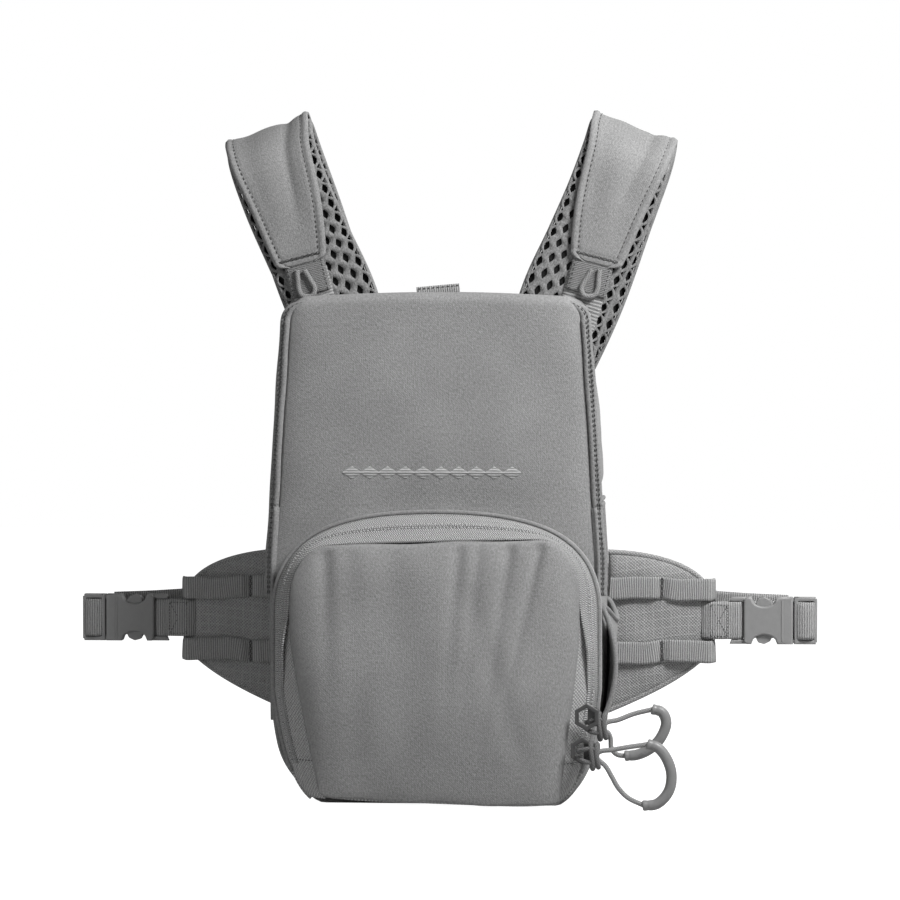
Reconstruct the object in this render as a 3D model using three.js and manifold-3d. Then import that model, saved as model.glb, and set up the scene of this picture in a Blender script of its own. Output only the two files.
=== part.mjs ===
// A binocular harness pack: a padded chest pouch with a forward-opening lid, a zipped front
// pocket, two webbed wings with side-release buckles, and a mesh shoulder harness.
// Millimetres, +Z up. The wearer's chest is at +Y, the front of the pack faces -Y.
// The origin is the centre of the flat face of the chest pad.
import * as THREE from 'three';
import { mergeVertices } from 'three/addons/utils/BufferGeometryUtils.js';
import Module from 'manifold-3d';

const wasm = await Module();
wasm.setup();

// ---- driving dimensions (heights are measured up from the bottom of the pack) ----
const GAP = 0.3;
const PACK_HALF_WIDTH = 81;
const PACK_HEIGHT = 256;
const PACK_FRONT = -88;
const LID_HINGE_HEIGHT = 150;
const LID_WALL = 3.8;
const SHELL_WALL = 4;
const BACK_FRONT_FACE = -12;
const BACK_REAR_FACE = -6;
const PAD_BOTTOM = 18;
const PAD_TOP = 196;
const ORIGIN_HEIGHT = (PAD_BOTTOM + PAD_TOP) / 2;

const POCKET_CENTRE = 1.5;
const POCKET_HALF_WIDTH = 80.5;
const POCKET_TOP = 148;
const ZIPPER_Y = -101;
const FLAP_Y = -112;
const FLAP_SPLIT_HEIGHT = 24;

const WING_HALF_THICKNESS = 2.6;
const WING_Y = -7.8;
const WING_INNER = 82.8;
const WING_OUTER = 137;
const WEBBING = 19;
const WEBBING_THICKNESS = 1.4;
const BUCKLE_Y = -8;
const BUCKLE_HEIGHT = 89;
const BUCKLE_HALF_HEIGHT = 12;
const BUCKLE_HALF_DEPTH = 4.5;
const BUCKLE_START = 147.4;
const BUCKLE_MOUTH = 171;

const STRAP_WIDTH = 46;
const STRAP_THICKNESS = 5;
const STRAP_LEAN = THREE.MathUtils.degToRad(20);
const YOKE_Y = 24.5;

const CORD_DIAMETER = 2.4;
const GRIP_DIAMETER = 6.4;

// ---- materials ----
const grey = (shade, roughness) =>
  new THREE.MeshStandardMaterial({ color: new THREE.Color(shade, shade, shade), roughness, metalness: 0 });
const materials = {
  shell: grey(0.29, 0.85),
  lining: grey(0.24, 0.9),
  oxford: grey(0.2, 0.9),
  mesh: grey(0.14, 0.85),
  webbing: grey(0.26, 0.8),
  plastic: grey(0.22, 0.5),
  cord: grey(0.24, 0.75),
  metal: new THREE.MeshStandardMaterial({ color: 0x6d6d6d, roughness: 0.4, metalness: 0.8 }),
};

// ---- geometry helpers ----
const point = (x, y) => new THREE.Vector2(x, y);

// A closed shape from its right half, given from the bottom centre to the top centre.
function mirrored(rightHalf, centre = 0) {
  const left = rightHalf.slice().reverse();
  const outline = rightHalf.map((p) => point(centre + p.x, p.y));
  left.forEach((p) => {
    if (p.x > 0.01) outline.push(point(centre - p.x, p.y));
  });
  return new THREE.Shape(outline);
}

function curve(a, b, c, d, steps) {
  return new THREE.CubicBezierCurve(a, b, c, d).getPoints(steps);
}

// An outline in X and Z, thickened along Y.
function slab(shape, front, back) {
  const geometry = new THREE.ExtrudeGeometry(shape, { depth: back - front, bevelEnabled: false, curveSegments: 6 });
  geometry.rotateX(Math.PI / 2);
  geometry.translate(0, back, 0);
  return geometry;
}

function box(x0, x1, y0, y1, z0, z1) {
  const geometry = new THREE.BoxGeometry(x1 - x0, y1 - y0, z1 - z0);
  geometry.translate((x0 + x1) / 2, (y0 + y1) / 2, (z0 + z1) / 2);
  return geometry;
}

function roundedBox(x0, x1, y0, y1, z0, z1, radius) {
  const shape = new THREE.Shape();
  shape.moveTo(x0 + radius, z0);
  shape.lineTo(x1 - radius, z0).absarc(x1 - radius, z0 + radius, radius, -Math.PI / 2, 0);
  shape.lineTo(x1, z1 - radius).absarc(x1 - radius, z1 - radius, radius, 0, Math.PI / 2);
  shape.lineTo(x0 + radius, z1).absarc(x0 + radius, z1 - radius, radius, Math.PI / 2, Math.PI);
  shape.lineTo(x0, z0 + radius).absarc(x0 + radius, z0 + radius, radius, Math.PI, Math.PI * 1.5);
  return slab(shape, y0, y1);
}

function welded(geometry) {
  const plain = geometry.clone();
  plain.deleteAttribute('normal');
  plain.deleteAttribute('uv');
  return mergeVertices(plain, 1e-4);
}

function solid(geometry) {
  const plain = welded(geometry);
  const mesh = new wasm.Mesh({
    numProp: 3,
    vertProperties: new Float32Array(plain.attributes.position.array),
    triVerts: new Uint32Array(plain.index.array),
  });
  return new wasm.Manifold(mesh);
}

function surface(body) {
  const mesh = body.getMesh();
  const geometry = new THREE.BufferGeometry();
  geometry.setAttribute('position', new THREE.BufferAttribute(new Float32Array(mesh.vertProperties), 3));
  geometry.setIndex(new THREE.BufferAttribute(new Uint32Array(mesh.triVerts), 1));
  return geometry;
}

const cut = (base, ...tools) => surface(tools.reduce((body, tool) => body.subtract(solid(tool)), solid(base)));
const keep = (base, region) => surface(solid(base).intersect(solid(region)));
const join = (...pieces) => surface(pieces.map(solid).reduce((a, b) => a.add(b)));

function mirror(geometry) {
  const copy = welded(geometry);
  copy.scale(-1, 1, 1);
  const index = copy.index.array;
  for (let i = 0; i < index.length; i += 3) {
    const swap = index[i + 1];
    index[i + 1] = index[i + 2];
    index[i + 2] = swap;
  }
  return copy;
}

// A closed skin over rings that all have the same number of points.
function loft(rings) {
  const count = rings[0].length;
  const positions = rings.flat().flatMap((p) => [p.x, p.y, p.z]);
  const faces = [];
  for (let r = 0; r + 1 < rings.length; r += 1) {
    for (let i = 0; i < count; i += 1) {
      const a = r * count + i;
      const b = r * count + ((i + 1) % count);
      faces.push(a, b, a + count, b, b + count, a + count);
    }
  }
  const last = (rings.length - 1) * count;
  for (let i = 1; i + 1 < count; i += 1) {
    faces.push(0, i + 1, i, last, last + i, last + i + 1);
  }
  const geometry = new THREE.BufferGeometry();
  geometry.setAttribute('position', new THREE.BufferAttribute(new Float32Array(positions), 3));
  geometry.setIndex(faces);
  return volume(geometry) < 0 ? flipped(geometry) : geometry;
}

function volume(geometry) {
  const p = geometry.attributes.position;
  const index = geometry.index.array;
  const corner = [new THREE.Vector3(), new THREE.Vector3(), new THREE.Vector3()];
  let total = 0;
  for (let i = 0; i < index.length; i += 3) {
    corner.forEach((v, k) => v.fromBufferAttribute(p, index[i + k]));
    total += corner[0].dot(corner[1].cross(corner[2])) / 6;
  }
  return total;
}

function flipped(geometry) {
  const index = geometry.index.array;
  for (let i = 0; i < index.length; i += 3) {
    const swap = index[i + 1];
    index[i + 1] = index[i + 2];
    index[i + 2] = swap;
  }
  return geometry;
}

// A flat band that follows a path, its width kept along one direction.
function band(path, across, width, thickness, steps, taper = () => 1) {
  const line = new THREE.CatmullRomCurve3(path.map((p) => new THREE.Vector3(...p)), false, 'centripetal');
  const rings = [];
  for (let i = 0; i <= steps; i += 1) {
    const t = i / steps;
    const along = line.getTangentAt(t);
    const side = across.clone().addScaledVector(along, -across.dot(along)).normalize();
    const normal = new THREE.Vector3().crossVectors(side, along).normalize();
    const centre = line.getPointAt(t);
    const half = (width / 2) * taper(t);
    rings.push([[-1, -1], [1, -1], [1, 1], [-1, 1]].map(([u, v]) =>
      centre.clone().addScaledVector(side, u * half).addScaledVector(normal, (v * thickness) / 2)));
  }
  return loft(rings);
}

function tube(path, diameter, sides, steps) {
  const line = new THREE.CatmullRomCurve3(path.map((p) => new THREE.Vector3(...p)), false, 'centripetal');
  const section = new THREE.Shape();
  for (let i = 0; i < sides; i += 1) {
    const angle = (2 * Math.PI * i) / sides;
    const x = (diameter / 2) * Math.cos(angle);
    const y = (diameter / 2) * Math.sin(angle);
    if (i === 0) section.moveTo(x, y);
    else section.lineTo(x, y);
  }
  return new THREE.ExtrudeGeometry(section, { steps, bevelEnabled: false, extrudePath: line });
}

// ---- the object ----
const pack = new THREE.Group();
pack.position.z = -ORIGIN_HEIGHT;

function add(name, geometry, material) {
  const mesh = new THREE.Mesh(geometry, material);
  mesh.name = name;
  pack.add(mesh);
}

function addPair(name, rightGeometry, material) {
  add(`${name}_right`, rightGeometry, material);
  add(`${name}_left`, mirror(rightGeometry), material);
}

// The pack's front outline: round lower corners, sides that taper above the hinge line, and a
// slightly crowned top. Inset is how far inside the outer skin the outline lies.
function packOutline(inset) {
  const w = PACK_HALF_WIDTH - inset;
  const top = PACK_HEIGHT - inset;
  const shoulder = w - 7.5;
  return mirrored([
    point(0, inset),
    ...curve(point(w - 24, inset), point(w - 8, inset + 3), point(w - 1, 34), point(w, 60), 7),
    point(w, 124),
    point(shoulder, top - 14),
    ...curve(point(shoulder, top - 11), point(shoulder - 1, top - 5), point(shoulder - 3, top - 3.2),
      point(shoulder - 9, top - 2.6), 4),
    point(shoulder * 0.5, top - 0.7),
    point(0, top),
  ]);
}

const FAR = 200;
const below = (z) => box(-FAR, FAR, -FAR, FAR, -FAR, z);
const above = (z) => box(-FAR, FAR, -FAR, FAR, z, 2 * FAR);

function mainBody() {
  const cavity = slab(packOutline(SHELL_WALL), PACK_FRONT + SHELL_WALL, FAR);
  const shell = cut(slab(packOutline(0), PACK_FRONT, BACK_FRONT_FACE - GAP), cavity);
  add('main_shell', keep(shell, below(LID_HINGE_HEIGHT - 0.5)), materials.shell);

  add('back_panel', slab(packOutline(SHELL_WALL + 0.4), BACK_FRONT_FACE, BACK_REAR_FACE), materials.mesh);
  add('chest_pad', roundedBox(-66, 66, BACK_REAR_FACE + GAP, 0, PAD_BOTTOM, PAD_TOP, 18), materials.mesh);
}

// The padded inner tub. Its rim falls from the back wall to the lid hinge at the front.
function compartment() {
  const outer = slab(packOutline(SHELL_WALL + 0.4), PACK_FRONT + SHELL_WALL + 0.4, BACK_FRONT_FACE - 0.6);
  const inner = slab(packOutline(SHELL_WALL + 2), PACK_FRONT + SHELL_WALL + 2, BACK_FRONT_FACE - 2.2);
  const rim = new THREE.Shape([
    point(-FAR, LID_HINGE_HEIGHT - 1),
    point(PACK_FRONT + 8, LID_HINGE_HEIGHT - 1),
    point(BACK_FRONT_FACE - 6, 236),
    point(FAR, 236),
    point(FAR, 2 * FAR),
    point(-FAR, 2 * FAR),
  ]);
  const rimCutter = new THREE.ExtrudeGeometry(rim, { depth: 2 * FAR, bevelEnabled: false });
  rimCutter.rotateX(Math.PI / 2);
  rimCutter.rotateZ(Math.PI / 2);
  rimCutter.translate(-FAR, 0, 0);
  add('compartment_lining', cut(outer, inner, rimCutter), materials.lining);

  const floor = slab(packOutline(SHELL_WALL + 2.4), PACK_FRONT + 7, BACK_FRONT_FACE - 3);
  add('base_pad', keep(floor, below(10)), materials.lining);
  const magnet = roundedBox(-36, 36, BACK_FRONT_FACE - 2.6, BACK_FRONT_FACE - GAP, 238, 247, 2);
  add('body_magnet_strip', magnet, materials.metal);
}

// The lid: front and top in one piece, two stretch sides, a pull tab and a strip of magnets. It
// turns on the line where its front meets the main shell.
function lid() {
  const hollow = slab(packOutline(LID_WALL), PACK_FRONT + LID_WALL - 1, FAR);
  const wall = cut(slab(packOutline(0), PACK_FRONT - 1, BACK_REAR_FACE - 0.2), hollow);
  const lidWall = keep(wall, above(LID_HINGE_HEIGHT + 1));
  const splitX = 64;
  const frontBack = PACK_FRONT + LID_WALL - 1;
  const sideRegion = (x0, x1) => box(x0, x1, frontBack + GAP, FAR, 0, 2 * FAR);
  const front = cut(lidWall,
    sideRegion(splitX, FAR),
    sideRegion(-FAR, -splitX));
  add('lid_shell', front, materials.shell);
  const side = keep(lidWall, sideRegion(splitX + GAP, FAR));
  addPair('lid_side', side, materials.shell);

  add('lid_pull_tab', roundedBox(-16, 6, BACK_REAR_FACE + 0.1, BACK_REAR_FACE + 1.5, 252.4, 261, 1), materials.webbing);
  add('lid_magnet_strip', roundedBox(-36, 36, -27, -18, 248, 250.2, 1), materials.metal);
}

// The front pocket's outline: an arched top, straight sides and round lower corners.
function pocketOutline(sideInset, topInset, bottomInset) {
  const w = POCKET_HALF_WIDTH - sideInset;
  const top = POCKET_TOP - topInset;
  const bottom = 3 + bottomInset;
  return mirrored([
    point(0, bottom),
    ...curve(point(w - 24, bottom), point(w - 9, bottom + 4), point(w - 3, 36), point(w, 60), 6),
    ...curve(point(w, 98), point(w, top - 12), point(w * 0.645, top), point(0, top), 9),
  ], POCKET_CENTRE);
}

// The panel inside the zipper: square shoulders, and sides that slant in towards the bottom.
function flapOutline(inset) {
  const w = 71 - inset;
  const top = 133 - inset;
  return mirrored([
    point(0, FLAP_SPLIT_HEIGHT + 1.5 + inset),
    point(w - 14, FLAP_SPLIT_HEIGHT + 1.5 + inset),
    point(w, 84),
    ...curve(point(w, 108), point(w, 126 - inset), point(w - 9, top), point(w - 23, top), 5),
    point(0, top),
  ], POCKET_CENTRE);
}

function ring(outer, inner, front, back) {
  return cut(slab(outer, front, back), slab(inner, front - 1, back + 1));
}

function frontPocket() {
  const rear = PACK_FRONT - GAP;
  add('pocket_gusset',
    ring(pocketOutline(0, 0, 0), pocketOutline(2, 2.5, 2), ZIPPER_Y, rear), materials.oxford);

  const tapeFixed = ring(pocketOutline(0.2, 0.4, 0), pocketOutline(2, 3.5, 0), ZIPPER_Y - 4, ZIPPER_Y - GAP);
  add('zipper_tape_fixed', keep(tapeFixed, above(FLAP_SPLIT_HEIGHT)), materials.webbing);
  const coil = ring(pocketOutline(1.6, 4.2, 0), pocketOutline(3.4, 7.4, 0), ZIPPER_Y - 6.2, ZIPPER_Y - 4.3);
  add('zipper_coil', keep(coil, above(FLAP_SPLIT_HEIGHT)), materials.plastic);

  const scoop = cut(
    slab(pocketOutline(0.3, 0, 0.3), FLAP_Y - 2, ZIPPER_Y - GAP),
    slab(pocketOutline(2.2, 2, 2.2), FLAP_Y, 0));
  add('pocket_bottom', keep(scoop, below(FLAP_SPLIT_HEIGHT - 1)), materials.oxford);
}

// The unzipped front of the pocket folds down on the seam above the pocket's bottom.
function pocketFlap() {
  const tape = ring(pocketOutline(4, 8, 0), pocketOutline(8.5, 14.4, 0), FLAP_Y + 1 + GAP, ZIPPER_Y - 6.6);
  add('zipper_tape_flap', keep(tape, above(FLAP_SPLIT_HEIGHT + 1.5)), materials.webbing);

  const bulge = slab(flapOutline(9), FLAP_Y - 8, FLAP_Y - 2);
  const skin = join(slab(flapOutline(0), FLAP_Y - 2.5, FLAP_Y + 1), bulge);
  const hollow = slab(flapOutline(11), FLAP_Y - 6, FLAP_Y + 2);
  add('pocket_front_panel', cut(skin, hollow), materials.shell);

  const between = cut(
    slab(pocketOutline(8.8, 15, 0), FLAP_Y - 1, FLAP_Y + 0.6),
    slab(flapOutline(-GAP), FLAP_Y - 4, FLAP_Y + 4));
  const low = keep(between, box(-FAR, FAR, -FAR, FAR, FLAP_SPLIT_HEIGHT + 1.5, 88));
  add('flap_gusset_right', keep(low, box(0, FAR, -FAR, FAR, 0, FAR)), materials.oxford);
  add('flap_gusset_left', keep(low, box(-FAR, 0, -FAR, FAR, 0, FAR)), materials.oxford);
}

// Stretch pockets on the pack's sides, open at the top.
function sidePockets() {
  const x = PACK_HALF_WIDTH + GAP;
  const depth = 6;
  const pouch = cut(
    box(x, x + depth, -78, -22, 42, 102),
    box(x - 1, x + depth - 1.3, -76.7, -23.3, 43.3, FAR));
  addPair('side_pocket', pouch, materials.shell);
}

const pulls = [
  { name: 'upper', x: 79.4, z: 49, y: -111 },
  { name: 'lower', x: 77.4, z: 32.5, y: -119.6 },
];

// The zipper's two sliders, each with a flat tab, a loop of cord and a curved grip on the cord.
function zipperPulls() {
  const sliderFront = FLAP_Y - 4.4;
  for (const { name, x, z } of pulls) {
    add(`slider_${name}`, roundedBox(x - 2.7, x + 2.7, sliderFront, FLAP_Y - 1.6, z - 4.6, z + 4.6, 1.4), materials.metal);
    const tab = new THREE.Shape([
      point(x - 8.6, z), point(x - 6.4, z - 6.4), point(x - 2.4, z - 6.4),
      point(x + 1.6, z - 2), point(x + 1.6, z + 2), point(x - 2.4, z + 6.4), point(x - 6.4, z + 6.4),
    ]);
    const front = sliderFront - 1.6;
    add(`pull_tab_${name}`, slab(tab, front, front + 1.3), materials.metal);
  }
  const upper = pulls[0].y;
  add('pull_cord_upper', tube([
    [106.6, upper, 52.5], [99.0, upper, 50.2], [91.0, upper - 1, 47.2], [86.4, upper - 2, 46.3],
    [84.0, upper - 3, 44.6], [84.4, upper - 2, 42.2], [86.4, upper - 1, 41.0], [87.6, upper, 38.0],
    [88.0, upper, 33.4], [90.5, upper, 30.4], [93.5, upper, 29.7],
  ], CORD_DIAMETER, 8, 26), materials.cord);
  add('pull_grip_upper', tube([
    [107.6, upper, 52.6], [112.6, upper, 51.0], [114.6, upper, 46.0], [112.4, upper, 39.4],
    [107.6, upper, 33.8], [101.0, upper, 30.4], [94.4, upper, 29.6],
  ], GRIP_DIAMETER, 10, 14), materials.plastic);
  const lower = pulls[1].y;
  add('pull_cord_lower', tube([
    [104.5, lower, 36.3], [97.0, lower, 34.9], [88.5, lower, 33.4], [83.0, lower, 32.6],
    [80.6, lower, 30.6], [82.2, lower, 28.4], [85.4, lower, 25.6], [88.4, lower, 20.6],
    [91.8, lower, 14.8], [96.4, lower, 10.2], [102.4, lower, 6.9],
  ], CORD_DIAMETER, 8, 28), materials.cord);
  add('pull_grip_lower', tube([
    [105.5, lower, 36.5], [110.8, lower, 34.6], [115.2, lower, 29.0], [117.4, lower, 21.4],
    [116.0, lower, 13.4], [110.4, lower, 7.4], [103.4, lower, 6.4],
  ], GRIP_DIAMETER, 10, 16), materials.plastic);
}

// ---- wings, webbing and buckles (drawn for the right side and mirrored) ----
function wingOutline() {
  const shape = new THREE.Shape();
  shape.moveTo(WING_INNER, 122.5);
  shape.lineTo(WING_INNER, 42);
  shape.lineTo(92, 44);
  shape.lineTo(115, 51);
  shape.quadraticCurveTo(136, 57.5, WING_OUTER, 68);
  shape.lineTo(WING_OUTER, 101);
  shape.quadraticCurveTo(135.5, 115.5, 108, 120);
  return shape;
}

function wings() {
  const front = WING_Y - WING_HALF_THICKNESS;
  addPair('wing', slab(wingOutline(), front, WING_Y + WING_HALF_THICKNESS), materials.shell);
  const rowFront = front - GAP - WEBBING_THICKNESS;
  const rows = [['upper', 100, 111.4], ['lower', 66.6, 78]];
  for (const [name, low, high] of rows) {
    addPair(`pals_${name}`, box(84, 124.4, rowFront, front - GAP, low, high), materials.webbing);
  }
}

function buckleFemale() {
  const z0 = BUCKLE_HEIGHT - BUCKLE_HALF_HEIGHT;
  const z1 = BUCKLE_HEIGHT + BUCKLE_HALF_HEIGHT;
  const y0 = BUCKLE_Y - BUCKLE_HALF_DEPTH;
  const y1 = BUCKLE_Y + BUCKLE_HALF_DEPTH;
  const bodyStart = BUCKLE_START + 6.1;
  const body = roundedBox(bodyStart, BUCKLE_MOUTH, y0, y1, z0, z1, 2);
  const rails = [
    box(BUCKLE_START, bodyStart + 2, BUCKLE_Y - 2.5, BUCKLE_Y + 2.5, z0, z0 + 2),
    box(BUCKLE_START, bodyStart + 2, BUCKLE_Y - 2.5, BUCKLE_Y + 2.5, z1 - 2, z1),
  ];
  const bar = box(BUCKLE_START, BUCKLE_START + 2.3, BUCKLE_Y - 1.1, BUCKLE_Y + 1.1, z0 + 1, z1 - 1);
  const cavity = box(bodyStart + 2, FAR, y0 + 1.6, y1 - 1.6, z0 + 2.4, z1 - 2.4);
  const window = box(bodyStart + 3.5, bodyStart + 12.5, y0 + 1.6, y1 - 1.6, z0 - 1, z1 + 1);
  return cut(join(body, ...rails, bar), cavity, window);
}

function buckleMale() {
  const z0 = BUCKLE_HEIGHT - BUCKLE_HALF_HEIGHT;
  const z1 = BUCKLE_HEIGHT + BUCKLE_HALF_HEIGHT;
  const start = BUCKLE_MOUTH + GAP;
  const block = box(start, start + 3.7, BUCKLE_Y - 4, BUCKLE_Y + 4, z0 + 0.5, z1 - 0.5);
  const prong = box(start - 14, start + 1, BUCKLE_Y - 2, BUCKLE_Y + 2, BUCKLE_HEIGHT - 1.6, BUCKLE_HEIGHT + 1.6);
  const railStart = start + 3;
  const end = start + 14;
  const rails = [
    box(railStart, end, BUCKLE_Y - 2.5, BUCKLE_Y + 2.5, z0 + 0.5, z0 + 2.4),
    box(railStart, end, BUCKLE_Y - 2.5, BUCKLE_Y + 2.5, z1 - 2.4, z1 - 0.5),
  ];
  const bar = box(end - 2.4, end, BUCKLE_Y - 1.2, BUCKLE_Y + 1.2, z0 + 1, z1 - 1);
  return join(block, prong, ...rails, bar);
}

// A springy arm with a round press head that fills one window of the female half.
function latchArm(up) {
  const mouth = BUCKLE_MOUTH;
  const shape = new THREE.Shape([
    point(mouth, 5.2), point(mouth - 8, 6.4), point(mouth - 13, 7.4), point(mouth - 13, 9.4),
    point(mouth - 12, 11.2), point(mouth - 9, 12), point(mouth - 6, 10.6), point(mouth - 5, 8.6), point(mouth, 7.6),
  ].map((p) => point(p.x, BUCKLE_HEIGHT + (up ? p.y : -p.y))));
  return slab(shape, BUCKLE_Y - 2.6, BUCKLE_Y + 2.6);
}

function buckles() {
  const up = new THREE.Vector3(0, 0, 1);
  const z = BUCKLE_HEIGHT;
  const front = WING_Y - WING_HALF_THICKNESS - GAP - WEBBING_THICKNESS / 2;
  addPair('buckle_webbing', band([
    [125.4, front, z], [138, front, z], [145, -10.6, z], [149.6, -10.1, z], [151.2, BUCKLE_Y, z],
    [149.6, -5.9, z], [144, -5.5, z], [138, -5.5, z],
  ], up, WEBBING, WEBBING_THICKNESS, 24), materials.webbing);
  addPair('buckle_female', buckleFemale(), materials.plastic);
  addPair('buckle_male', buckleMale(), materials.plastic);
  addPair('latch_arm_upper', latchArm(true), materials.plastic);
  addPair('latch_arm_lower', latchArm(false), materials.plastic);

  const bar = BUCKLE_MOUTH + 13;
  addPair('adjuster_loop', band([
    [156, -1.6, z], [176, -1.6, z], [bar, -2.9, z], [bar + 3.4, -5.2, z], [bar + 4, BUCKLE_Y, z],
    [bar + 3.2, -11, z], [bar - 1, -12.4, z], [bar - 5, -11, z], [bar - 6.6, BUCKLE_Y, z], [bar - 8, -4.6, z],
  ], up, WEBBING, WEBBING_THICKNESS, 40), materials.webbing);
  addPair('side_strap', band([
    [174, 0.6, z + 3], [150, 1.6, z + 4], [125, 6, z + 6], [100, 14, z + 11], [76, 24, z + 19], [56, 31.3, z + 27],
    [38, 31.6, z + 30],
  ], up, WEBBING, WEBBING_THICKNESS, 24), materials.webbing);
}

// ---- shoulder harness ----
// The straps leave the back panel, lean outwards over the shoulders and come down to the yoke.
const STRAP_Y = -1.6;
const strapPath = [
  [47, STRAP_Y, 208], [60, STRAP_Y, 253], [72.5, STRAP_Y, 280], [83.5, STRAP_Y, 305], [91.5, 1, 327],
  [94, 12, 337], [91.5, 24, 327], [82, 27.6, 300], [66, 27.6, 255], [46, 33.3, 213], [31, 33.5, 183],
];

function leaning(angle) {
  return new THREE.Vector3(Math.cos(angle), 0, -Math.sin(angle));
}

function harness() {
  addPair('shoulder_strap', band(strapPath, leaning(STRAP_LEAN), STRAP_WIDTH, STRAP_THICKNESS, 44), materials.mesh);

  const coverThickness = 1.8;
  const coverOffset = (STRAP_THICKNESS + coverThickness) / 2 + 2 * GAP;
  const front = STRAP_Y - coverOffset;
  const coverPath = [
    [75.5, front, 274], [84, front, 303], [92.4, 1 - coverOffset, 328],
    [95.2, 12, 337 + coverOffset], [92.4, 24 + coverOffset, 328], [82.5, 27.6 + coverOffset, 300],
  ];
  const widen = (t) => 0.5 + 0.5 * THREE.MathUtils.smoothstep(t, 0, 0.45);
  addPair('strap_cover',
    band(coverPath, leaning(STRAP_LEAN), STRAP_WIDTH - 1, coverThickness, 30, widen), materials.shell);

  // Between the back panel and the strap: webbing, then the patch above the panel, then the loop.
  const tilt = leaning(STRAP_LEAN * 0.6);
  const webbingY = STRAP_Y - STRAP_THICKNESS / 2 - GAP - 0.5;
  addPair('strap_webbing', band([
    [58, webbingY, 214], [62, webbingY, 232], [68, webbingY, 250], [73, webbingY, 268],
  ], tilt, WEBBING, 1, 6), materials.webbing);
  const patchY = webbingY - 0.5 - GAP - 0.4;
  addPair('strap_patch', band([[70.6, patchY, 257], [74.6, patchY, 271.6]], tilt, 20, 0.8, 2), materials.oxford);
  const loopY = patchY - 0.4 - GAP - 1.25;
  addPair('accessory_loop', tube([
    [73.9, loopY, 268], [71.2, loopY, 263.6], [68.6, loopY, 258.4], [69.6, loopY, 255.2], [72.4, loopY, 254.4],
    [75.4, loopY, 255.2], [76.8, loopY, 258.4], [77.4, loopY, 263.6], [77.8, loopY, 268],
  ], 2.5, 8, 22), materials.cord);

  add('back_yoke', roundedBox(-50, 50, YOKE_Y, YOKE_Y + 6, 100, 200, 14), materials.mesh);
}

mainBody();
compartment();
lid();
frontPocket();
pocketFlap();
sidePockets();
zipperPulls();
wings();
buckles();
harness();

export default pack;
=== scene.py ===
import math
from contextlib import contextmanager

import bmesh
import bpy
import numpy as np
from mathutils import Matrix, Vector


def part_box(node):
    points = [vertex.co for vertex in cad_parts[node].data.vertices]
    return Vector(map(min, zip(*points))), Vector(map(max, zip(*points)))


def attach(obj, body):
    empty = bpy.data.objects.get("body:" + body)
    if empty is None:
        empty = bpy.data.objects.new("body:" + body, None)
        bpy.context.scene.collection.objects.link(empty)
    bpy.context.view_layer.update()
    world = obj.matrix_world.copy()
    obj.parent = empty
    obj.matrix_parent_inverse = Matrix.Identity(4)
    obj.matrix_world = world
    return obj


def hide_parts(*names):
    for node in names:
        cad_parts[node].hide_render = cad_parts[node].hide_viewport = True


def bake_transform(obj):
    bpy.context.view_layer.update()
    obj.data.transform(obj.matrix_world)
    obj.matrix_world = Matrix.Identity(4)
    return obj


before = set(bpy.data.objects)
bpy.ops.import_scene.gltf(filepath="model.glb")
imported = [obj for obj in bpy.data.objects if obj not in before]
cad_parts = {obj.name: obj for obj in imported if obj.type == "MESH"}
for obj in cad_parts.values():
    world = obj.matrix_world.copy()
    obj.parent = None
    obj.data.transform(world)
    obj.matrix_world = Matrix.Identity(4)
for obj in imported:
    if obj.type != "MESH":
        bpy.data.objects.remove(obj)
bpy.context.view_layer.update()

# The looks of the binocular harness pack. Lengths in this script are millimetres, and heights are
# measured up from the bottom of the pack. to_frame() turns them into the frame's metres.
MM = 0.001
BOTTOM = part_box("main_shell")[0].z / MM


def low(node):
    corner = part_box(node)[0] / MM
    return Vector((corner.x, corner.y, corner.z - BOTTOM))


def high(node):
    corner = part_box(node)[1] / MM
    return Vector((corner.x, corner.y, corner.z - BOTTOM))


# ---- driving dimensions, from the frame ----
PACK_HALF = high("main_shell").x
PACK_TOP = high("lid_shell").z
FRONT = low("lid_shell").y
LID_HINGE = (high("main_shell").z + low("lid_shell").z) / 2
BACK = high("back_panel").y
POCKET_CENTRE = (low("pocket_gusset").x + high("pocket_gusset").x) / 2
POCKET_HALF = (high("pocket_gusset").x - low("pocket_gusset").x) / 2
POCKET_TOP = high("pocket_gusset").z
POCKET_BOTTOM = low("pocket_gusset").z
ZIPPER_Y = low("pocket_gusset").y
PANEL_HALF = (high("pocket_front_panel").x - low("pocket_front_panel").x) / 2
PANEL_TOP = high("pocket_front_panel").z
PANEL_Y = low("flap_gusset_right").y + 1
FLAP_SPLIT = (high("pocket_bottom").z + low("pocket_front_panel").z) / 2
WING_OUTER = high("wing_right").x
WING_INNER = low("wing_right").x
WING_FRONT = low("wing_right").y
WING_BACK = high("wing_right").y
BUCKLE_Z = (low("buckle_female_right").z + high("buckle_female_right").z) / 2
BUCKLE_Y = (low("buckle_female_right").y + high("buckle_female_right").y) / 2
BUCKLE_HALF = (high("buckle_female_right").z - low("buckle_female_right").z) / 2
WEBBING = high("buckle_webbing_right").z - low("buckle_webbing_right").z
STRAP_WIDTH = 46.0
STRAP_LEAN = math.radians(20)

SIDES = (("right", 1), ("left", -1))


def to_frame(points):
    out = np.array(points, float)
    out[..., 2] += BOTTOM
    return out * MM


def at(x, y, z):
    return Vector(to_frame([x, y, z]))


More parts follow.
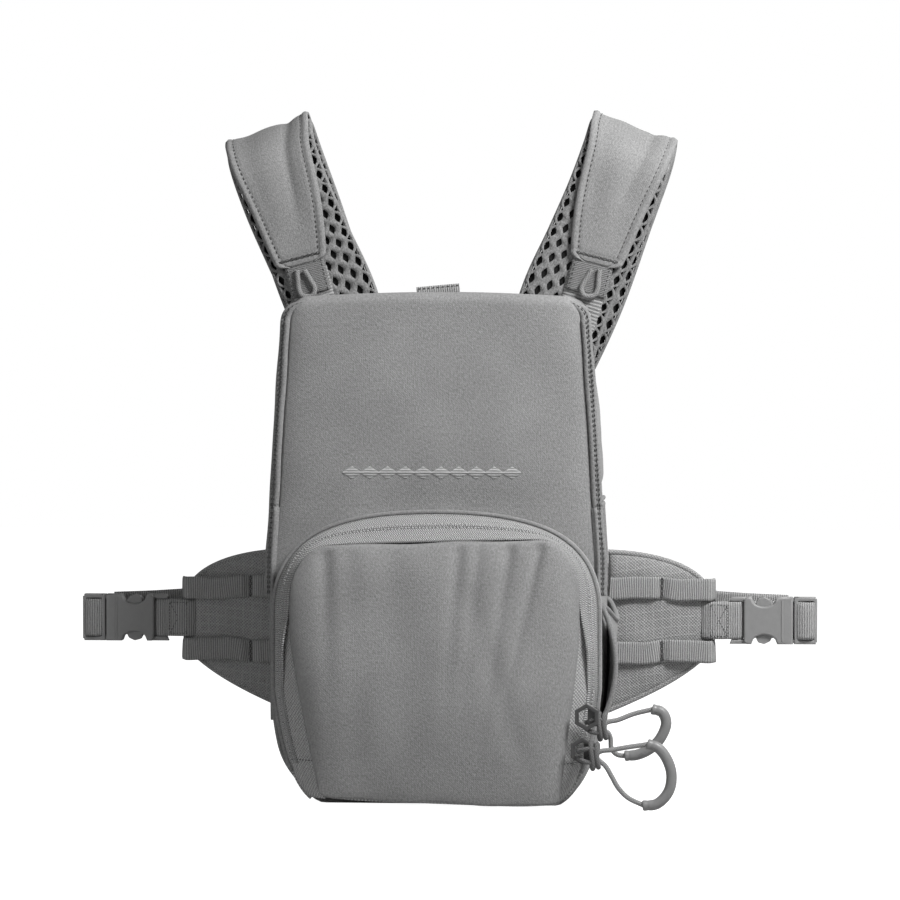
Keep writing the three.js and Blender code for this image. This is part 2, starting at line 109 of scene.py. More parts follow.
# ---- camera, light and floor ----
def look_from(azimuth, elevation, distance, target, focal):
    a, e = math.radians(azimuth), math.radians(elevation)
    back = Vector((math.sin(a) * math.cos(e), -math.cos(a) * math.cos(e), math.sin(e)))
    camera = bpy.data.objects.new("camera", bpy.data.cameras.new("camera"))
    camera.location = target + back * distance
    camera.rotation_euler = back.to_track_quat("Z", "Y").to_euler()
    camera.data.lens = focal
    camera.data.sensor_width = 36
    bpy.context.scene.collection.objects.link(camera)
    bpy.context.scene.camera = camera


def area_light(name, position, size, energy):
    light = bpy.data.lights.new(name, "AREA")
    light.shape = "DISK"
    light.size = size
    light.energy = energy
    lamp = bpy.data.objects.new(name, light)
    lamp.location = position
    lamp.rotation_euler = (Vector(position) - at(0, -60, 150)).to_track_quat("Z", "Y").to_euler()
    bpy.context.scene.collection.objects.link(lamp)


def studio():
    look_from(4.5, 1.5, 2.0, at(5.2, -60, 177), 160)
    area_light("key", (0.52, -0.47, 0.66), 0.30, 10.4)
    area_light("fill", (-0.9, -1.3, 0.35), 1.0, 2.7)
    area_light("rim", (0.7, 0.8, 0.7), 0.6, 5)

    world = bpy.data.worlds.new("studio")
    bpy.context.scene.world = world
    world.use_nodes = True
    tree = world.node_tree
    background = tree.nodes["Background"]
    seen = tree.nodes.new("ShaderNodeLightPath")
    strength = tree.nodes.new("ShaderNodeMapRange")
    strength.inputs["To Min"].default_value = 0.145
    strength.inputs["To Max"].default_value = 1.0
    tree.links.new(seen.outputs["Is Camera Ray"], strength.inputs["Value"])
    tree.links.new(strength.outputs["Result"], background.inputs["Strength"])
    background.inputs["Color"].default_value = (1, 1, 1, 1)
    bpy.context.scene.view_settings.view_transform = "Standard"

    bpy.ops.mesh.primitive_plane_add(size=6, location=at(0, 0, -4))
    floor = bpy.context.object
    floor.name = "floor"
    pale = bpy.data.materials.new("pale_floor")
    pale.use_nodes = True
    tree = pale.node_tree
    shader = tree.nodes["Principled BSDF"]
    shader.inputs["Base Color"].default_value = (0.4, 0.4, 0.4, 1)
    shader.inputs["Roughness"].default_value = 0.9
    shader.inputs["Emission Color"].default_value = (1, 1, 1, 1)
    seen = tree.nodes.new("ShaderNodeLightPath")
    glow = tree.nodes.new("ShaderNodeMapRange")
    glow.inputs["To Min"].default_value = 0.0
    glow.inputs["To Max"].default_value = 1.0
    tree.links.new(seen.outputs["Is Camera Ray"], glow.inputs["Value"])
    tree.links.new(glow.outputs["Result"], shader.inputs["Emission Strength"])
    floor.data.materials.append(pale)


# ---- materials ----
# A small wrapper that adds maths nodes, so that a pattern reads like a formula.
class Graph:
    def __init__(self, name):
        self.material = bpy.data.materials.new(name)
        self.material.use_nodes = True
        self.tree = self.material.node_tree
        self.shader = self.tree.nodes["Principled BSDF"]

    def node(self, kind, **settings):
        made = self.tree.nodes.new(kind)
        for key, value in settings.items():
            setattr(made, key, value)
        return made

    def link(self, source, target):
        self.tree.links.new(source, target)

    def math(self, operation, *values):
        made = self.node("ShaderNodeMath", operation=operation)
        for socket, value in zip(made.inputs, values):
            if isinstance(value, (int, float)):
                socket.default_value = value
            else:
                self.link(value, socket)
        return made.outputs[0]

    def wave(self, coordinate, pitch):
        turned = self.math("MULTIPLY_ADD", coordinate, 2 * math.pi / pitch, 0.0)
        return self.math("MULTIPLY_ADD", self.math("SINE", turned), 0.5, 0.5)

    def checker(self, u, v, pitch):
        """Threads that cross over and under, from -1 to 1."""
        waves = [self.math("SINE", self.math("MULTIPLY", axis, math.pi / pitch)) for axis in (u, v)]
        return self.math("MULTIPLY", *waves)

    def noise(self, vector, scale, detail=3.0, stretch=None):
        if stretch:
            mapping = self.node("ShaderNodeMapping")
            mapping.inputs["Scale"].default_value = stretch
            self.link(vector, mapping.inputs["Vector"])
            vector = mapping.outputs[0]
        made = self.node("ShaderNodeTexNoise")
        made.inputs["Scale"].default_value = scale
        made.inputs["Detail"].default_value = detail
        self.link(vector, made.inputs["Vector"])
        return made.outputs["Fac"]

    def coordinates(self, mapped):
        """Millimetres along the cloth for a mapped piece, or in space for any other."""
        if mapped:
            source = self.node("ShaderNodeUVMap", uv_map="weave").outputs[0]
        else:
            scaled = self.node("ShaderNodeVectorMath", operation="SCALE")
            scaled.inputs["Scale"].default_value = 1 / MM
            self.link(self.node("ShaderNodeTexCoord").outputs["Object"], scaled.inputs[0])
            source = scaled.outputs[0]
        split = self.node("ShaderNodeSeparateXYZ")
        self.link(source, split.inputs[0])
        return source, split.outputs

    def finish(self, shade, tone, height, bump, rough, sheen=0.0, spread=1.0):
        """tone is 0 to 1 around 0.5 and darkens or lightens the shade; height feeds the bump."""
        ramp = self.node("ShaderNodeMapRange")
        ramp.inputs["To Min"].default_value = shade * (1 - 0.5 * spread)
        ramp.inputs["To Max"].default_value = shade * (1 + 0.5 * spread)
        self.link(tone, ramp.inputs["Value"])
        colour = self.node("ShaderNodeCombineColor")
        for socket in colour.inputs[:3]:
            self.link(ramp.outputs["Result"], socket)
        self.link(colour.outputs[0], self.shader.inputs["Base Color"])
        self.shader.inputs["Roughness"].default_value = rough
        self.shader.inputs["Sheen Weight"].default_value = sheen
        self.shader.inputs["Sheen Roughness"].default_value = 0.5
        self.shader.inputs["Specular IOR Level"].default_value = 0.3
        relief = self.node("ShaderNodeBump")
        relief.inputs["Strength"].default_value = 1.0
        relief.inputs["Distance"].default_value = bump * MM
        self.link(height, relief.inputs["Height"])
        self.link(relief.outputs[0], self.shader.inputs["Normal"])
        return self.material


def stretch_woven(name, shade, mapped=True, heather=0.16):
    """Smooth heathered stretch cloth: a fine twill with slubs along the warp."""
    g = Graph(name)
    vector, (u, v, w) = g.coordinates(mapped)
    across = u if mapped else g.math("ADD", u, w)
    along = v if mapped else g.math("ADD", v, w)
    twill = g.wave(g.math("ADD", across, along), 1.15)
    thread = g.wave(across, 0.95)
    slub = g.noise(vector, 1.1, 4.0, (1.0, 0.5, 0.5))
    cloud = g.noise(vector, 0.035, 2.0)
    grain = g.noise(vector, 1.15, 3.0)
    tone = g.math("MULTIPLY_ADD", slub, 0.75, g.math("MULTIPLY", twill, 0.07))
    tone = g.math("ADD", tone, g.math("MULTIPLY_ADD", cloud, 0.3, -0.2))
    tone = g.math("MULTIPLY_ADD", grain, 0.8, g.math("ADD", tone, -0.38))
    height = g.math("MULTIPLY_ADD", twill, 0.18, g.math("MULTIPLY", thread, 0.1))
    height = g.math("MULTIPLY_ADD", grain, 1.3, height)
    return g.finish(shade, tone, height, 0.16, 0.9, 0.1, heather * 4.6)


def oxford(name, shade, pitch, contrast):
    """Coarse plain weave of thick yarn."""
    g = Graph(name)
    vector, (u, v, _) = g.coordinates(True)
    checker = g.checker(u, v, pitch)
    weave = g.math("MULTIPLY_ADD", checker, 0.5, 0.5)
    yarn = g.noise(vector, 0.8, 3.0)
    tone = g.math("MULTIPLY_ADD", weave, 0.7, g.math("MULTIPLY_ADD", yarn, 0.7, -0.22))
    height = g.math("MULTIPLY_ADD", yarn, 0.4, weave)
    return g.finish(shade, tone, height, 0.35, 0.9, 0.1, contrast)


def ripstop(name, shade):
    """Fine plain weave with a raised thread every few millimetres both ways."""
    g = Graph(name)
    vector, (u, v, _) = g.coordinates(True)
    checker = g.checker(u, v, 0.8)
    grid = 4.6
    ribs = [g.math("POWER", g.wave(axis, grid), 14.0) for axis in (u, v)]
    rib = g.math("MAXIMUM", *ribs)
    yarn = g.noise(vector, 1.1, 3.0)
    tone = g.math("MULTIPLY_ADD", checker, 0.34, g.math("MULTIPLY_ADD", yarn, 0.8, 0.1))
    tone = g.math("MULTIPLY_ADD", rib, 0.12, tone)
    height = g.math("MULTIPLY_ADD", rib, 0.5, g.math("MULTIPLY_ADD", checker, 0.6, yarn))
    return g.finish(shade, tone, height, 0.16, 0.88, 0.1, 1.25)


def webbing(name, shade, pitch=1.25, contrast=0.7):
    """Narrow-woven tape: ribs across its length, with a herringbone yarn in each rib."""
    g = Graph(name)
    vector, (u, v, _) = g.coordinates(True)
    rib = g.wave(u, pitch)
    zig = g.math("PINGPONG", v, 1.6)
    yarn = g.wave(g.math("ADD", u, zig), pitch / 2)
    fuzz = g.noise(vector, 1.4, 3.0)
    tone = g.math("MULTIPLY_ADD", rib, 0.55, g.math("MULTIPLY", yarn, 0.25))
    tone = g.math("MULTIPLY_ADD", fuzz, 0.5, g.math("ADD", tone, -0.15))
    height = g.math("MULTIPLY_ADD", rib, 1.0, g.math("MULTIPLY", yarn, 0.5))
    return g.finish(shade, tone, height, 0.28, 0.82, 0.12, contrast)


def zipper_tape(name, shade):
    """Herringbone knit of a reversed-coil zipper's tape."""
    g = Graph(name)
    vector, (u, v, _) = g.coordinates(True)
    zig = g.math("PINGPONG", v, 1.3)
    bone = g.wave(g.math("ADD", u, zig), 1.1)
    fuzz = g.noise(vector, 1.6, 2.0)
    tone = g.math("MULTIPLY_ADD", bone, 0.7, g.math("MULTIPLY", fuzz, 0.4))
    return g.finish(shade, tone, bone, 0.45, 0.86, 0.1, 1.6)


def braid(name, shade):
    """Braided cord: two sets of strands crossing."""
    g = Graph(name)
    vector, (u, v, _) = g.coordinates(True)
    one = g.wave(g.math("ADD", u, v), 1.3)
    two = g.wave(g.math("SUBTRACT", u, v), 1.3)
    strands = g.math("MAXIMUM", one, two)
    fuzz = g.noise(vector, 1.5, 3.0)
    tone = g.math("MULTIPLY_ADD", strands, 0.6, g.math("MULTIPLY", fuzz, 0.45))
    return g.finish(shade, tone, strands, 0.28, 0.8, 0.15, 0.8)


def moulded(name, shade, rough=0.42, tone_spread=0.12):
    """Moulded plastic: fine spark-eroded grain, lighter along its sharp convex edges, and faint scuffs."""
    g = Graph(name)
    vector, _ = g.coordinates(False)
    grain = g.noise(vector, 2.4, 3.0)
    scuff = g.noise(vector, 0.35, 5.0, (1.0, 3.0, 1.0))
    pointy = g.node("ShaderNodeNewGeometry").outputs["Pointiness"]
    edge = g.math("MULTIPLY", g.math("SUBTRACT", pointy, 0.5), 6.0)
    tone = g.math("MULTIPLY_ADD", scuff, 0.35, g.math("MULTIPLY_ADD", grain, 0.2, 0.22))
    # sharp convex edges, read from pointiness, are made lighter
    tone = g.math("ADD", tone, g.math("MAXIMUM", edge, 0.0))
    gloss = g.math("MULTIPLY_ADD", scuff, 0.25, rough - 0.12)
    material = g.finish(shade, tone, grain, 0.03, rough, 0.0, tone_spread * 4)
    g.link(gloss, g.shader.inputs["Roughness"])
    g.shader.inputs["Specular IOR Level"].default_value = 0.5
    return material


def spacer_foam(name, shade):
    """Knitted face of the foam behind the open mesh: small dark dimples."""
    g = Graph(name)
    vector, _ = g.coordinates(False)
    cells = g.node("ShaderNodeTexVoronoi")
    cells.inputs["Scale"].default_value = 1.1
    g.link(vector, cells.inputs["Vector"])
    fuzz = g.noise(vector, 1.2, 3.0)
    tone = g.math("MULTIPLY_ADD", cells.outputs["Distance"], 0.8, g.math("MULTIPLY", fuzz, 0.4))
    return g.finish(shade, tone, cells.outputs["Distance"], 0.3, 0.95, 0.0, 0.8)


def make_materials():
    return {
        "shell": stretch_woven("shell_cloth", 0.305, heather=0.21),
        "binding": stretch_woven("binding_cloth", 0.28, heather=0.2),
        "lining": stretch_woven("lining_cloth", 0.23, mapped=False, heather=0.2),
        "oxford": oxford("oxford_cloth", 0.40, pitch=0.85, contrast=1.2),
        "patch": webbing("patch_webbing", 0.25, pitch=0.9, contrast=0.9),
        "ripstop": ripstop("wing_cloth", 0.315),
        "webbing": webbing("webbing", 0.37, pitch=1.15, contrast=1.25),
        "diagonal": webbing("ribbed_webbing", 0.33, pitch=1.7, contrast=1.1),
        "tape": zipper_tape("zipper_tape", 0.40),
        "mesh": stretch_woven("air_mesh", 0.28, heather=0.3),
        "foam": spacer_foam("mesh_foam", 0.012),
        "cord": braid("braided_cord", 0.26),
        # the knot is the same braided cord, made darker here as painted shade in its tight wraps
        "knot": braid("shaded_knot_cord", 0.13),
        "plastic": moulded("buckle_plastic", 0.24, rough=0.45),
        "grip": moulded("grip_plastic", 0.21, rough=0.4),
        "metal": moulded("slider_coating", 0.06, rough=0.34),
        "tab": moulded("tab_coating", 0.05, rough=0.34, tone_spread=0.3),
        "thread": braid("thread", 0.09),
        "pale_thread": braid("pale_thread", 0.42),
    }


MATERIALS = make_materials()


# ---- mesh building ----
def unit(vectors):
    length = np.linalg.norm(vectors, axis=-1, keepdims=True)
    return vectors / np.maximum(length, 1e-12)


@contextmanager
def edited(mesh):
    """A mesh's points, edges and faces to work on. What comes out is written back to the mesh."""
    shape = bmesh.new()
    shape.from_mesh(mesh)
    yield shape
    shape.to_mesh(mesh)
    shape.free()


def new_object(name, points, faces, material, uvs=None):
    mesh = bpy.data.meshes.new(name)
    mesh.from_pydata(to_frame(points).tolist(), [], faces)
    if uvs is not None:
        layer = mesh.uv_layers.new(name="weave")
        index = np.zeros(len(mesh.loops), int)
        mesh.loops.foreach_get("vertex_index", index)
        layer.data.foreach_set("uv", np.asarray(uvs, float)[index].ravel())
    mesh.validate()
    mesh.materials.append(MATERIALS[material])
    made = bpy.data.objects.new(name, mesh)
    bpy.context.scene.collection.objects.link(made)
    with edited(mesh) as shape:
        bmesh.ops.recalc_face_normals(shape, faces=shape.faces)
    mesh.shade_smooth()
    return made


def place(piece, body, replaces=()):
    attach(piece, body)
    if replaces:
        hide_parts(*replaces)
    return piece


def lengths(grid, axis):
    """Distance along one axis of a grid of points, from its middle."""
    step = np.linalg.norm(np.diff(grid, axis=axis), axis=-1)
    zero = np.zeros_like(np.take(step, [0], axis=axis))
    total = np.concatenate([zero, np.cumsum(step, axis=axis)], axis=axis)
    middle = np.take(total, [total.shape[axis] // 2], axis=axis)
    return total - middle


def grid_normals(grid):
    along = np.gradient(grid, axis=0)
    across = np.gradient(grid, axis=1)
    return unit(np.cross(along, across))


def cloth(name, grid, thickness, material, flip=False):
    """A closed sheet of cloth over a grid of points. The grid is its outer face."""
    normals = grid_normals(grid) * (-1 if flip else 1)
    inner = grid - normals * thickness
    nu, nv = grid.shape[:2]
    points = np.concatenate([grid.reshape(-1, 3), inner.reshape(-1, 3)])
    uv = np.stack([lengths(grid, 0), lengths(grid, 1)], -1).reshape(-1, 2)
    uvs = np.concatenate([uv, uv])
    count = nu * nv
    faces = []
    for i in range(nu - 1):
        for j in range(nv - 1):
            a = i * nv + j
            b, c, d = a + nv, a + nv + 1, a + 1
            faces.append((a, b, c, d))
            faces.append((a + count, d + count, c + count, b + count))
    rim = [j for j in range(nv)] + [i * nv + nv - 1 for i in range(1, nu)]
    rim += [(nu - 1) * nv + j for j in range(nv - 2, -1, -1)] + [i * nv for i in range(nu - 2, 0, -1)]
    for a, b in zip(rim, rim[1:] + rim[:1]):
        faces.append((a, b, b + count, a + count))
    return new_object(name, points, faces, material, uvs)


def smooth_path(points, count):
    """A centripetal Catmull-Rom curve through points, resampled at even spacing."""
    p = np.array(points, float)
    p = np.vstack([2 * p[0] - p[1], p, 2 * p[-1] - p[-2]])
    dense = []
    for i in range(1, len(p) - 2):
        k = [0.0]
        for a, b in zip(p[i - 1:i + 2], p[i:i + 3]):
            k.append(k[-1] + max(np.linalg.norm(b - a), 1e-9) ** 0.5)
        t = np.linspace(k[1], k[2], 24, endpoint=i == len(p) - 3)[:, None]
        a1 = (k[1] - t) / (k[1] - k[0]) * p[i - 1] + (t - k[0]) / (k[1] - k[0]) * p[i]
        a2 = (k[2] - t) / (k[2] - k[1]) * p[i] + (t - k[1]) / (k[2] - k[1]) * p[i + 1]
        a3 = (k[3] - t) / (k[3] - k[2]) * p[i + 1] + (t - k[2]) / (k[3] - k[2]) * p[i + 2]
        b1 = (k[2] - t) / (k[2] - k[0]) * a1 + (t - k[0]) / (k[2] - k[0]) * a2
        b2 = (k[3] - t) / (k[3] - k[1]) * a2 + (t - k[1]) / (k[3] - k[1]) * a3
        dense.append((k[2] - t) / (k[2] - k[1]) * b1 + (t - k[1]) / (k[2] - k[1]) * b2)
    return resample(np.vstack(dense), count)


def distance_along(path):
    return np.concatenate([[0], np.cumsum(np.linalg.norm(np.diff(path, axis=0), axis=1))])


def sheet(x, y, z):
    """A grid of points. Each coordinate is one number, a row, a column or a whole grid."""
    return np.stack(np.broadcast_arrays(x, y, z), -1).astype(float)


def resample(path, count):
    path = np.asarray(path, float)
    run = distance_along(path)
    want = np.linspace(0, run[-1], count)
    return np.stack([np.interp(want, run, path[:, k]) for k in range(path.shape[1])], -1)


def path_frames(path, across):
    """Tangent, side and normal at each point of a path. across is one vector or one per point."""
    tangent = unit(np.gradient(path, axis=0))
    across = np.broadcast_to(np.asarray(across, float), path.shape)
    side = unit(across - tangent * (across * tangent).sum(-1, keepdims=True))
    return tangent, side, np.cross(side, tangent)


def swept(name, path, across, section, material, scale=None, closed=False):
    """A section of (side, normal) offsets carried along a path."""
    path = np.asarray(path, float)
    section = np.asarray(section, float)
    _, side, normal = path_frames(path, across)
    grow = np.ones(len(path)) if scale is None else np.asarray(scale, float)
    rings = (path[:, None] + side[:, None] * (section[:, :1] * grow[:, None, None])
             + normal[:, None] * (section[:, 1:] * grow[:, None, None]))
    n, k = rings.shape[:2]
    run = distance_along(path)
    around = distance_along(section)
    uvs = np.stack(np.broadcast_arrays(run[:, None], around[None]), -1).reshape(-1, 2)
    faces = []
    for i in range(n if closed else n - 1):
        for j in range(k):
            a, b = i * k + j, i * k + (j + 1) % k
            c, d = ((i + 1) % n) * k + (j + 1) % k, ((i + 1) % n) * k + j
            faces.append((a, b, c, d))
    if not closed:
        faces.append(tuple(range(k)))
        faces.append(tuple((n - 1) * k + j for j in range(k)))
    return new_object(name, rings.reshape(-1, 3), faces, material, uvs)


def round_section(radius, sides=12, squash=1.0):
    angle = np.linspace(0, 2 * math.pi, sides, endpoint=False)
    return np.stack([radius * np.cos(angle), radius * squash * np.sin(angle)], -1)


def flat_section(width, thickness, crown=0.0, steps=10):
    """A strap's section: flat faces, round edges, and a slight crown."""
    x = np.linspace(-1, 1, steps)
    top = thickness / 2 + crown * (1 - x ** 2)
    edge = np.sqrt(np.clip(1 - np.abs(x) ** 8, 0.0, 1))
    half = width / 2
    upper = np.stack([x * half, top * np.maximum(edge, 0.25)], -1)
    lower = np.stack([x[::-1] * half, -thickness / 2 * np.maximum(edge[::-1], 0.25)], -1)
    return np.concatenate([upper, lower])


def tube(name, path, across, radius, material, body, replaces=(), sides=10, squash=1.0,
         closed=False):
    """A round bead, binding or cord along a path, riding one body."""
    section = round_section(radius, sides, squash)
    return place(swept(name, path, across, section, material, closed=closed), body, replaces)


def bend_between(piece, start, end, node):
    """Cloth that stands for one node: its transform is baked in place and the node's part is hidden."""
    at(*start)
    at(*end)
    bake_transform(piece)
    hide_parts(node)


def stitches(name, path, normals, body, length=2.0, gap=1.0, width=0.45, material="thread"):
    """A row of sewn stitches, each a small rounded bar that sinks at its ends."""
    path = np.asarray(path, float)
    normals = np.broadcast_to(np.asarray(normals, float), path.shape)
    run = distance_along(path)
    count = max(1, int(run[-1] / (length + gap)))
    starts = (np.arange(count) + 0.5) * run[-1] / count
    ring = round_section(width / 2, 6)
    points, faces, uvs = [], [], []
    # share of the stitch's length, size and rise at its two ends and its two shoulders
    profile = [(-0.5, 0.35, -0.2), (-0.3, 1.0, 0.1), (0.3, 1.0, 0.1), (0.5, 0.35, -0.2)]

    def along(s):
        return np.array([np.interp(s, run, path[:, k]) for k in range(3)])

    for centre in starts:
        here = along(centre)
        tangent = unit(along(centre + 0.4) - along(centre - 0.4))
        up = np.array([np.interp(centre, run, normals[:, k]) for k in range(3)])
        side = unit(np.cross(tangent, up))
        first = len(points)
        for offset, size, lift in profile:
            middle = here + tangent * offset * length + up * lift * width
            for a, b in ring:
                points.append(middle + side * a * size + up * b * size)
                uvs.append((offset * length, a))
        for r in range(len(profile) - 1):
            for j in range(6):
                a, b = first + r * 6 + j, first + r * 6 + (j + 1) % 6
                faces.append((a, b, b + 6, a + 6))
        faces.append(tuple(range(first, first + 6)))
        faces.append(tuple(range(first + 18, first + 24)))
    return place(new_object(name, points, faces, material, uvs), body)


def ripple(x, z, seed=0.0):
    """Soft hand wrinkles, about one unit high either way."""
    return (np.sin(x * 0.071 + z * 0.033 + seed) * np.sin(z * 0.052 - x * 0.018 + 1.7 * seed)
            + 0.5 * np.sin(x * 0.16 - z * 0.05 + 2.3 * seed) * np.sin(z * 0.11 + 0.9 * seed))


def smoothstep(x, a, b):
    t = np.clip((np.asarray(x, float) - a) / (b - a), 0, 1)
    return t * t * (3 - 2 * t)


def bezier(a, b, c, d, count):
    t = np.linspace(0, 1, count)[:, None]
    a, b, c, d = (np.array(p, float) for p in (a, b, c, d))
    return (1 - t) ** 3 * a + 3 * (1 - t) ** 2 * t * b + 3 * (1 - t) * t * t * c + t ** 3 * d


# ---- the pack's outlines ----
def pack_half_width(z):
    """Half the pack's width at a height: round lower corners, then sides that taper to the top."""
    z = np.asarray(z, float)
    corner = bezier((PACK_HALF - 24, 0), (PACK_HALF - 8, 3), (PACK_HALF - 1, 34), (PACK_HALF, 60), 40)
    lower = np.interp(z, corner[:, 1], corner[:, 0])
    return np.where(z < 60, lower, PACK_HALF - 7.5 * np.clip((z - 124) / (PACK_TOP - 138), 0, 1))


def pack_ring(inset, top, count):
    """The pack's outline as an open path: up the left side's top, down, under and up the right."""
    z = np.linspace(top, 60, count)
    left = np.stack([-pack_half_width(z) + inset, z], -1)
    w = PACK_HALF - inset
    corner = bezier((-w, 60), (1 - w, 34), (8 - w, 3 + inset), (24 - w, inset), count // 2)
    base = np.stack([np.linspace(24 - w, w - 24, count // 3), np.full(count // 3, inset)], -1)
    half = np.concatenate([left, corner[1:]])
    return np.concatenate([half, base[1:-1], (half * [-1, 1])[::-1]])


def sole_lift(x, y, z):
    """How far the soft lower front edge rises above the pack's flat base."""
    near_front = 1 - smoothstep(y, FRONT, FRONT + 26)
    return (4.4 - 0.04 * x) * near_front * (1 - smoothstep(z, 2, 34))


# ---- main shell ----
def main_shell():
    outline = resample(pack_ring(0, LID_HINGE - 1, 60), 150)
    depth = np.linspace(FRONT + 1.2, low("back_panel").y + 4, 26)
    swell = np.sin(np.linspace(0, math.pi, len(depth))) ** 0.8
    grid = np.zeros((len(outline), len(depth), 3))
    outward = unit(np.stack([outline[:, 0], (outline[:, 1] - 70) * 0.35], -1))
    side = smoothstep(np.abs(outline[:, 0]), 60, 80)
    slack = 1 - smoothstep(outline[:, 1], 96, 140)
    lift = (1.6 * side * slack + 0.3)[:, None] * swell[None]
    lift = lift + 0.5 * (side * slack)[:, None] * ripple(depth[None] * 2, outline[:, 1:2] * 1.3, 0.4)
    grid[..., 0] = outline[:, :1] + outward[:, :1] * lift
    grid[..., 1] = depth[None]
    grid[..., 2] = outline[:, 1:] + outward[:, 1:] * lift
    grid[..., 2] = np.maximum(grid[..., 2], 0.2)
    grid[..., 2] += sole_lift(grid[..., 0], grid[..., 1], grid[..., 2])
    place(cloth("main_shell_skin", grid, 2.2, "shell", flip=True), "pack", ["main_shell"])

    # the flat front wall behind the pocket, up to the lid's fold
    z = np.linspace(8, LID_HINGE - 3, 30)
    u = np.linspace(-1, 1, 30)
    wall = sheet(u[:, None] * (pack_half_width(z) - 2.5), FRONT + 2.4, z)
    place(cloth("main_shell_front", wall, 1.6, "shell"), "pack")

    # binding over the shell's edges
    for name, y, radius in (("front", FRONT + 1.6, 1.5), ("rear", low("back_panel").y + 3.4, 1.9)):
        line = resample(pack_ring(0.2, LID_HINGE - 1, 60), 170)
        path = np.stack([line[:, 0], np.full(len(line), y), np.maximum(line[:, 1], radius)], -1)
        path[:, 2] += sole_lift(path[:, 0], path[:, 1], path[:, 2])
        tube(f"shell_binding_{name}", path, (0, 1, 0), radius, "binding", "pack",
             squash=0.8)
    rim = resample(np.array([(PACK_HALF - 1.0, FRONT + 2), (PACK_HALF - 1.0, BACK - 8)]), 24)
    for side_name, sign in SIDES:
        path = np.stack([sign * rim[:, 0], rim[:, 1], np.full(len(rim), LID_HINGE - 1.6)], -1)
        tube(f"shell_rim_{side_name}", path, (0, 0, 1), 1.5, "binding", "pack",
             squash=0.8)


# ---- lid ----
def lid_front_half(z):
    return pack_half_width(z) - 1.5 + 1.2 * smoothstep(z, 150, 118)


def lid_crown(x):
    """Height of the lid's top edge across its width, with its round corners."""
    half = float(lid_front_half(PACK_TOP - 14))
    x = np.abs(np.asarray(x, float))
    corner = 8.5
    round_part = corner * (1 - np.sqrt(np.clip(1 - ((x - half + corner) / corner) ** 2, 0, 1)))
    return PACK_TOP - 0.4 - 2.6 * (x / half) ** 2 - np.where(x > half - corner, round_part, 0)


def lid_front_y(across, x, z):
    """The lid's gently padded front. across runs from -1 to 1 over its width."""
    edge = 1 - np.abs(across) ** 14
    rise = np.sin(np.pi * np.clip((z - 96) / (PACK_TOP - 92), 0, 1)) ** 0.7
    bow = 1.5 * (1 - across ** 4) * rise
    soft = 0.45 * ripple(x * 0.8, z * 0.9, 0.2) * edge
    pull = 0.7 * np.exp(-((z - 152) / 9) ** 2) * (1 - across ** 2)
    return FRONT - bow - soft + pull + 2.2 * (1 - edge)


def lid_skin():
    nu, front_steps, fold_steps, top_steps = 97, 84, 8, 20
    u = np.linspace(-1, 1, nu)
    u = np.sign(u) * np.abs(u) ** 0.85
    half_top = float(lid_front_half(PACK_TOP - 14))
    fold = 5.5
    grid = []
    for value in u:
        x_top = value * half_top
        top = float(lid_crown(x_top))
        z = np.linspace(104, top - fold, front_steps)
        x = value * np.minimum(lid_front_half(z), half_top + 30)
        y = lid_front_y(value, x, z)
        front = np.stack([x, y, z], -1)
        angle = np.linspace(0, math.pi / 2, fold_steps + 1)[1:]
        start = front[-1]
        bend = np.stack([np.full(fold_steps, x_top), start[1] + fold * (1 - np.cos(angle)),
                         start[2] + fold * np.sin(angle)], -1)
        back_y = np.linspace(bend[-1][1], BACK + 0.4, top_steps + 1)[1:]
        dome = 0.5 * np.sin(np.linspace(0, math.pi, top_steps + 1)[1:]) * (1 - value ** 2)
        roof = np.stack([np.full(top_steps, x_top), back_y, bend[-1][2] + dome], -1)
        grid.append(np.concatenate([front, bend, roof]))
    skin = cloth("lid_front_skin", np.array(grid), 2.2, "shell")
    bend_between(skin, (0, FRONT, LID_HINGE - 5), (0, FRONT, LID_HINGE + 5),
                 "lid_shell")


# The two binding strips beside the lid's front: how far they sit in from the pack's side and
# behind its front, and their radius.
LID_STRIPS = ((0.1, 1.6, 1.1475), (-2.0, 3.0, 1.275))


